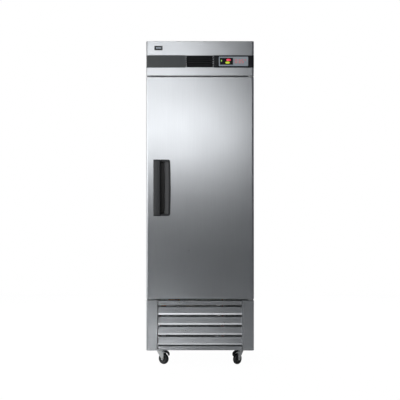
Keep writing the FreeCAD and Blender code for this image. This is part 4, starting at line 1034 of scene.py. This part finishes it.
# %% Forks and pedals
OFFSET, LEG_IN, LEG_THICK, CROWN_Z = 27.0, 14.5, 2.5, 96.0


def upright_frame(corner):
    """The fork's own directions as columns: forward to the wheel, up, and across along the axle."""
    centre, axis = joint_axis("roll_" + corner)
    pivot = joint_axis("swivel_" + corner)[0]
    forward = (centre - pivot) * [1, 1, 0]
    forward = forward / np.linalg.norm(forward)
    across_axle = np.cross(forward, [0, 0, 1])
    return pivot * [1, 1, 0], np.stack([forward, np.array([0, 0, 1.0]), across_axle], 1)


def placed(rings, corner):
    """Rings in a fork's own directions, moved to its place under the cabinet."""
    origin, turn_to = upright_frame(corner)
    return rings @ turn_to.T + origin


leg = outline([(-19, CROWN_Z - 4, 3.0), (-17, CROWN_Z - 12, 8.0), (OFFSET - 9.5, WHEEL_R + 2, 10.0),
               (OFFSET - 7, WHEEL_R - 9.2, 7.0), (OFFSET + 7, WHEEL_R - 9.2, 7.0),
               (OFFSET + 9.5, WHEEL_R + 2, 10.0), (37, CROWN_Z - 10, 4.0), (33, CROWN_Z - 4, 4.0)])
crown_plate = outline(block(-19, 32, -LEG_IN - LEG_THICK, LEG_IN + LEG_THICK, 5.0))
outer = LEG_IN + LEG_THICK
bolt = [(0, outer + 5), (5.4, outer + 5), (6.3, outer + 4.2), (6.5, outer), (6.5, outer - 1),
        (AXLE_R, outer - 1)]
bolt_section = bolt + [(r, -w) for r, w in bolt[::-1]]
race_section = [(0, CROWN_Z - 8), (19, CROWN_Z - 8), (20, CROWN_Z - 4), (25.5, CROWN_Z - 1),
                (26.8, CROWN_Z - 0.4), (26, CROWN_Z), (0, CROWN_Z)]
for corner in CORNERS:
    fork = Surface()
    for side in (-1, 1):
        near = side * (LEG_IN + LEG_THICK / 2) - LEG_THICK / 2
        leg_rings = stack(leg, soft(near, near + LEG_THICK, 0.6, 0.6, steps=3))
        fork.grid(placed(leg_rings, corner), caps=(True, True))
    bridge = stack(crown_plate, soft(CROWN_Z - 7.5, CROWN_Z - 4, 2.4))[..., [0, 2, 1]]
    fork.grid(placed(bridge, corner), caps=(True, True))
    pivot = upright_frame(corner)[0]
    fork.grid(turned(race_section, pivot, (0, 0, 1), 48))
    centre, axis = joint_axis("roll_" + corner)
    fork.grid(turned(bolt_section, centre, axis, 24))
    make("fork_" + corner, fork, "caster_" + corner, zinc, ["caster_fork_" + corner])

# %% [markdown]
# A brake pedal is a bent tongue of black plastic. It is swept along a curve that leaves its pin, passes
# over the tyre and points down: at each place on the curve its section is a flat oval, which narrows
# towards the tip.

# %% Brake pedals
PEDAL_AT, PEDAL_UP, PEDAL_HALF, PEDAL_THICK = 30.0, CROWN_Z - 9.0, 13.2, 8.8


def tongue(route, half_width, half_thick, around=20):
    """Flat ovals set square to a route (forward, up), each as wide and thick as its place says."""
    along = np.gradient(route, axis=0)
    along /= np.linalg.norm(along, axis=1)[:, None]
    normal = np.stack([-along[:, 1], along[:, 0]], 1)
    angle = np.linspace(0, 2 * math.pi, around, endpoint=False)
    side = np.sign(np.cos(angle)) * np.abs(np.cos(angle)) ** 0.6
    lift = np.sign(np.sin(angle)) * np.abs(np.sin(angle)) ** 0.8
    flat = route[:, None] + normal[:, None] * (half_thick[:, None] * lift)[..., None]
    return np.stack([flat[..., 0], flat[..., 1], half_width[:, None] * side], -1)


t = np.linspace(0, 1, 28)
bend = np.stack([PEDAL_AT - 4 + 44.5 * np.sin(0.5 * math.pi * t ** 0.9), PEDAL_UP + 1.5 - 31.0 * t ** 2.1], 1)
taper = np.minimum(1, np.sqrt(np.clip(t, 0.001, 1) / 0.06)) * np.sqrt(np.clip(1 - t ** 3.5, 0.0, 1))
for corner in CORNERS[:2]:
    body = "brake_" + corner
    ovals = tongue(bend, PEDAL_HALF * taper + 0.2, (PEDAL_THICK / 2 - 2.2 * t) * taper + 0.1)
    lever = Surface().grid(placed(ovals, corner), caps=(True, True))
    origin, turn_to = upright_frame(corner)
    pin_at = np.array([PEDAL_AT, PEDAL_UP, 0]) @ turn_to.T + origin
    reach = WHEEL_HALF + 7
    lever.grid(turned([(0, -reach), (2.45, -reach), (2.45, reach), (0, reach)], pin_at, turn_to[:, 2], 16))
    make("pedal_" + corner, lever, body, black_plastic, ["caster_brake_" + corner])

# %% [markdown]
# ## The fans
#
# A moulded blade is steep at the hub, and wider, swept forward and flatter at its tip. Over its span s and
# chord c, its pitch falls from 38 to 22 degrees, its chord grows, and it leans forward as s squared. Each
# blade is a thin closed shell, thickest in the middle of its chord.


# %% Fan rotors
def blade_rings(hub_r, tip_r, root_chord, tip_chord, start):
    """One blade's closed sections from hub to tip, in the rotor's own plan, about its axis w."""
    share = np.linspace(0, 1, 12)[:, None]
    across_chord = np.linspace(-0.5, 0.5, 13)[None]
    radius = hub_r - 2 + (tip_r - hub_r + 2) * share
    chord = root_chord + (tip_chord - root_chord) * share ** 0.7
    chord = chord * np.sqrt(np.clip(1.02 - share ** 8, 0.05, 1))
    steep = np.radians(38 - 16 * share)
    camber = 2.2 * (1 - (2 * across_chord) ** 2)
    thick = 1.1 * np.sqrt(np.clip(1 - (2 * across_chord) ** 2, 0.02, 1))
    top, under = camber + thick, camber - thick
    section_c = np.concatenate([across_chord + 0 * share, (across_chord + 0 * share)[:, ::-1]], 1) * chord
    section_h = np.concatenate([top + 0 * share, (under + 0 * share)[:, ::-1]], 1)
    flat = section_c * np.cos(steep) - section_h * np.sin(steep)
    w = section_c * np.sin(steep) + section_h * np.cos(steep)
    angle = start + 0.30 * share ** 2 + flat / radius
    return np.stack([radius * np.cos(angle), radius * np.sin(angle), w], -1)


BLADES = 5
for name, body, joint in (("evaporator_rotor", "evaporator_fan", "evaporator_fan_spin"),
                          ("condenser_rotor", "condenser_fan", "condenser_fan_spin")):
    centre, axis = joint_axis(joint)
    low, high = span(body)
    tip_r = max(high - low) / 2 - 1.0
    tall = abs((high - low) @ axis) / 2
    lean = BACKING if axis[1] else PLAN
    rotor = Surface()
    hub = [(3.05, -10), (21, -10), (22.5, -8.5), (23, 6), (20, 9.4), (10, 10), (3.05, 10)]
    rotor.grid(turned(hub, (0, 0, 0), (0, 0, 1), 48) @ lean.T + centre, loop=True)
    for number in range(BLADES):
        wing = blade_rings(22.0, tip_r, 40.0, 50.0, 2 * math.pi * number / BLADES)
        wing[..., 2] = np.clip(wing[..., 2], -tall, tall)
        rotor.grid(wing @ lean.T + centre, caps=(True, True))
    make(name, rotor, body, grey_plastic, [body])

# %% [markdown]
# ## The compressor and the lamp inside
#
# A hermetic compressor is two deep-drawn cups welded at a seam. Its profile is a cylinder with elliptical
# ends, and the seam is a narrow flange. The feet, the rubber mounts and the terminal box stand round it.
# The lamp inside the cabinet is a long diffuser with round edges, under the fan cover.

# %% Compressor and lamp
comp_low, comp_high = span("compressor")
CAN_R, FEET_HALF = 78.0, (95.0, 60.0)
can_x, can_y = comp_low[0] + FEET_HALF[0], comp_low[1] + CAN_R + 5
base_z = comp_low[2]
can_low, can_high = base_z + 22, comp_high[2]
turn = np.linspace(0, math.pi / 2, 12)
lower_cup = np.stack([CAN_R * np.sin(turn), can_low + 24 * (1 - np.cos(turn))], 1)
upper_cup = np.stack([CAN_R * np.cos(turn), can_high - 44 + 44 * np.sin(turn)], 1)
flange_z = can_low + 80
flange = [(CAN_R, flange_z - 1.5), (CAN_R + 4, flange_z), (CAN_R + 5, flange_z + 1),
          (CAN_R + 5, flange_z + 3), (CAN_R + 4, flange_z + 4), (CAN_R, flange_z + 5.5)]
can = Surface().grid(turned(np.concatenate([lower_cup, flange, upper_cup]), (can_x, can_y, 0), (0, 0, 1), 96))
feet = outline(block(can_x - FEET_HALF[0], can_x + FEET_HALF[0], can_y - FEET_HALF[1],
                     can_y + FEET_HALF[1], 18.0))
can.grid(stack(feet, soft(can_low - 4, can_low, 1.2, 1.2)), caps=(True, True))
box_x = (comp_high[0] - 30, comp_high[0])
terminal = outline(block(box_x[0], box_x[1], can_y - 28, can_y + 28, 5.0))
can.grid(stack(terminal, soft(can_low + 20, can_low + 76, 3.0, 3.0)), caps=(True, True))
neck = outline(block(box_x[0] - 14, box_x[0] + 1, can_y - 18, can_y + 18, 1.0))
can.grid(stack(neck, [(0, can_low + 30), (0, can_low + 66)]), caps=(True, True))
make("compressor_can", can, "root", shell_enamel, ["compressor"])
mounts = Surface()
grommet = [(4, base_z), (11, base_z), (11, base_z + 5), (9, base_z + 7), (9, base_z + 10), (11, base_z + 12),
           (11, can_low - 4), (4, can_low - 4)]
for side_x in (-82, 82):
    for side_y in (-48, 48):
        mounts.grid(turned(grommet, (can_x + side_x, can_y + side_y, 0), (0, 0, 1), 24), loop=True)
make("compressor_mounts", mounts, "root", tyre_rubber)

lamp_low, lamp_high = span("interior_light")
diffuser = outline(block(lamp_low[0], lamp_high[0], lamp_low[1], lamp_high[1], 7.0), steps=8)
tube = Surface().grid(stack(diffuser, soft(lamp_low[2], lamp_high[2], 0.8, 5.0)), caps=(True, True))
make("lamp_tube", tube, "root", lamp_diffuser, ["interior_light"])

# %% [markdown]
# ## Finishes for the parts that stay as they were designed
#
# The other parts are mostly flat sheet, straight wire, tube and foam. Their shapes are right already, so
# each keeps its mesh and gets its finish.

# %% Finishes by part
FINISHES = {
    side_steel: ("side_panel_left", "side_panel_right"),
    liner_steel: ("face_frame", "inner_liner", "shelf_standards", "shelf_clips"),
    inner_door_steel: ("door_liner",),
    galvanised: ("top_panel", "back_panel", "base_frame", "rear_cover"),
    foam: ("cabinet_foam", "door_foam"),
    white_plastic: ("breaker_strips", "evaporator_cover", "drain_line", "condensate_pan"),
    wire_coating: ("shelf_lower", "shelf_middle", "shelf_upper"),
    zinc: ("fasteners", "caster_plates", "door_closer"),
    copper: ("refrigerant_lines",),
    fins: ("evaporator_coil", "condenser"),
    motor_enamel: ("fan_motors",),
    black_plastic: ("door_switch_body", "control_module", "cord_gland", "hinge_bush"),
}
kept = 0
for finish, names in FINISHES.items():
    for name in names:
        node = frame["nodes"][name]
        node.data.materials.clear()
        node.data.materials.append(finish)
        kept += 1
print(kept, "parts keep their shapes")

# %% [markdown]
# ## Light
#
# A brushed metal shows what is around it, so the room is part of its look. Seven rectangular lights stand
# in a dim grey room. Two stand in front of the upper half: one is seen in the steel as the door's bright
# upper part, above a darker middle, and one as the header's brightness. A narrow one washes the floor,
# whose light comes back on the lowest part of the door. Two at the left give the left edges and posts their
# brightness, and one behind and one at the right rear light the other sides. The camera itself sees the
# room as white: Light Path tells camera rays from all others.


# %% Lights and room
def soft_light(name, place, towards, width, height, power):
    """A rectangular area light that faces a point. It isn't seen itself, but its light and reflection are."""
    lamp = bpy.data.lights.new(name, "AREA")
    lamp.shape, lamp.size, lamp.size_y, lamp.energy = "RECTANGLE", width, height, power
    light = bpy.data.objects.new(name, lamp)
    light.location = place
    light.rotation_euler = (Vector(towards) - Vector(place)).to_track_quat("-Z", "Y").to_euler()
    light.visible_camera = False
    bpy.context.collection.objects.link(light)
    return light


soft_light("key", (-0.55, -3.1, 1.75), (-0.3, -0.4, 1.6), 1.9, 0.60, 9.0)
soft_light("header_key", (-0.55, -3.1, 2.55), (-0.3, -0.4, 2.0), 1.2, 0.26, 4.2)
floor_wash = soft_light("floor_wash", (-0.40, -1.8, 0.75), (-0.40, -1.8, 0), 0.25, 1.6, 2.4)
floor_wash.data.spread = math.radians(50)      # a narrow beam, which keeps off the cabinet
soft_light("left_front", (-2.1, -2.1, 1.85), (-0.35, -0.4, 1.85), 1.9, 1.6, 16)
soft_light("left_wall", (-3.2, -0.6, 1.2), (-0.35, -0.4, 1.1), 1.8, 2.2, 26)
soft_light("back", (-0.6, 3.0, 2.6), (0, 0.4, 1.1), 2.2, 1.6, 45)
soft_light("side", (3.2, 2.4, 2.0), (0.35, 0, 1.1), 1.6, 1.8, 13)

world = bpy.data.worlds.new("room")
bpy.context.scene.world = world
world.use_nodes = True
nodes, links = world.node_tree.nodes, world.node_tree.links
room = nodes["Background"]
room.inputs["Color"].default_value = (0.92, 0.96, 1.0, 1)
room.inputs["Strength"].default_value = 0.09
backdrop = nodes.new("ShaderNodeBackground")
backdrop.inputs["Color"].default_value = (1, 1, 1, 1)
rays = nodes.new("ShaderNodeLightPath")
either = nodes.new("ShaderNodeMixShader")
links.new(rays.outputs["Is Camera Ray"], either.inputs[0])
links.new(room.outputs[0], either.inputs[1])
links.new(backdrop.outputs[0], either.inputs[2])
links.new(either.outputs[0], nodes["World Output"].inputs["Surface"])
bpy.context.scene.view_settings.view_transform = "Standard"

# %% [markdown]
# The floor is a wide slab of pale paint, very slightly mottled, which belongs to the stage and not to the
# cabinet.

# %% Floor
FLOOR_HALF, FLOOR_THICK = 4.0, 0.02
FLOOR_WHITE = 0.86
SEEN_AS_LIT, GLOW = 0.95, 1.04      # the share of the floor's look that is even white, and how bright that is


def stage_paint():
    """Pale matt paint, which the camera sees almost white, as a floor is in a tent of bright white cloth."""
    finish = Finish("floor_paint", (FLOOR_WHITE,) * 3, 0.75)
    mottle = noise(finish, (3.0, 3.0, 3.0), 4.0)
    finish.set(**{"Base Color": tint(finish, (FLOOR_WHITE,) * 3, mottle, 0.02)})
    white = finish.node("Emission", {}, {"Color": (1, 1, 1, 1), "Strength": GLOW})
    seen = finish.node("LightPath", output="Is Camera Ray")
    paint = Sock(finish, finish.shader.outputs[0])
    mixed = finish.node("MixShader", {}, {0: SEEN_AS_LIT * seen, 1: paint, 2: white})
    finish.tree.links.new(mixed.socket, finish.tree.nodes["Material Output"].inputs["Surface"])
    return finish.material


slab = outline(block(-FLOOR_HALF, FLOOR_HALF, -FLOOR_HALF, FLOOR_HALF, 0.05), steps=3)
rings = stack(slab, [(0, -FLOOR_THICK), (0, 0)])
floor = Surface().grid(rings, caps=(True, True))
floor_mesh = bpy.data.meshes.new("floor")
floor_mesh.from_pydata(np.concatenate(floor.points).tolist(), [], floor.faces)
floor_mesh.materials.append(stage_paint())
floor_piece = bpy.data.objects.new("floor", floor_mesh)
bpy.context.collection.objects.link(floor_piece)
floor_piece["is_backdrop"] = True

# %% Finish
visual_box = [list(corner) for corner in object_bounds()]
growth = np.abs(np.array(visual_box) - np.array(cad_box)) / MM
print("largest difference from the designed box:", round(float(growth.max()), 2), "mm")
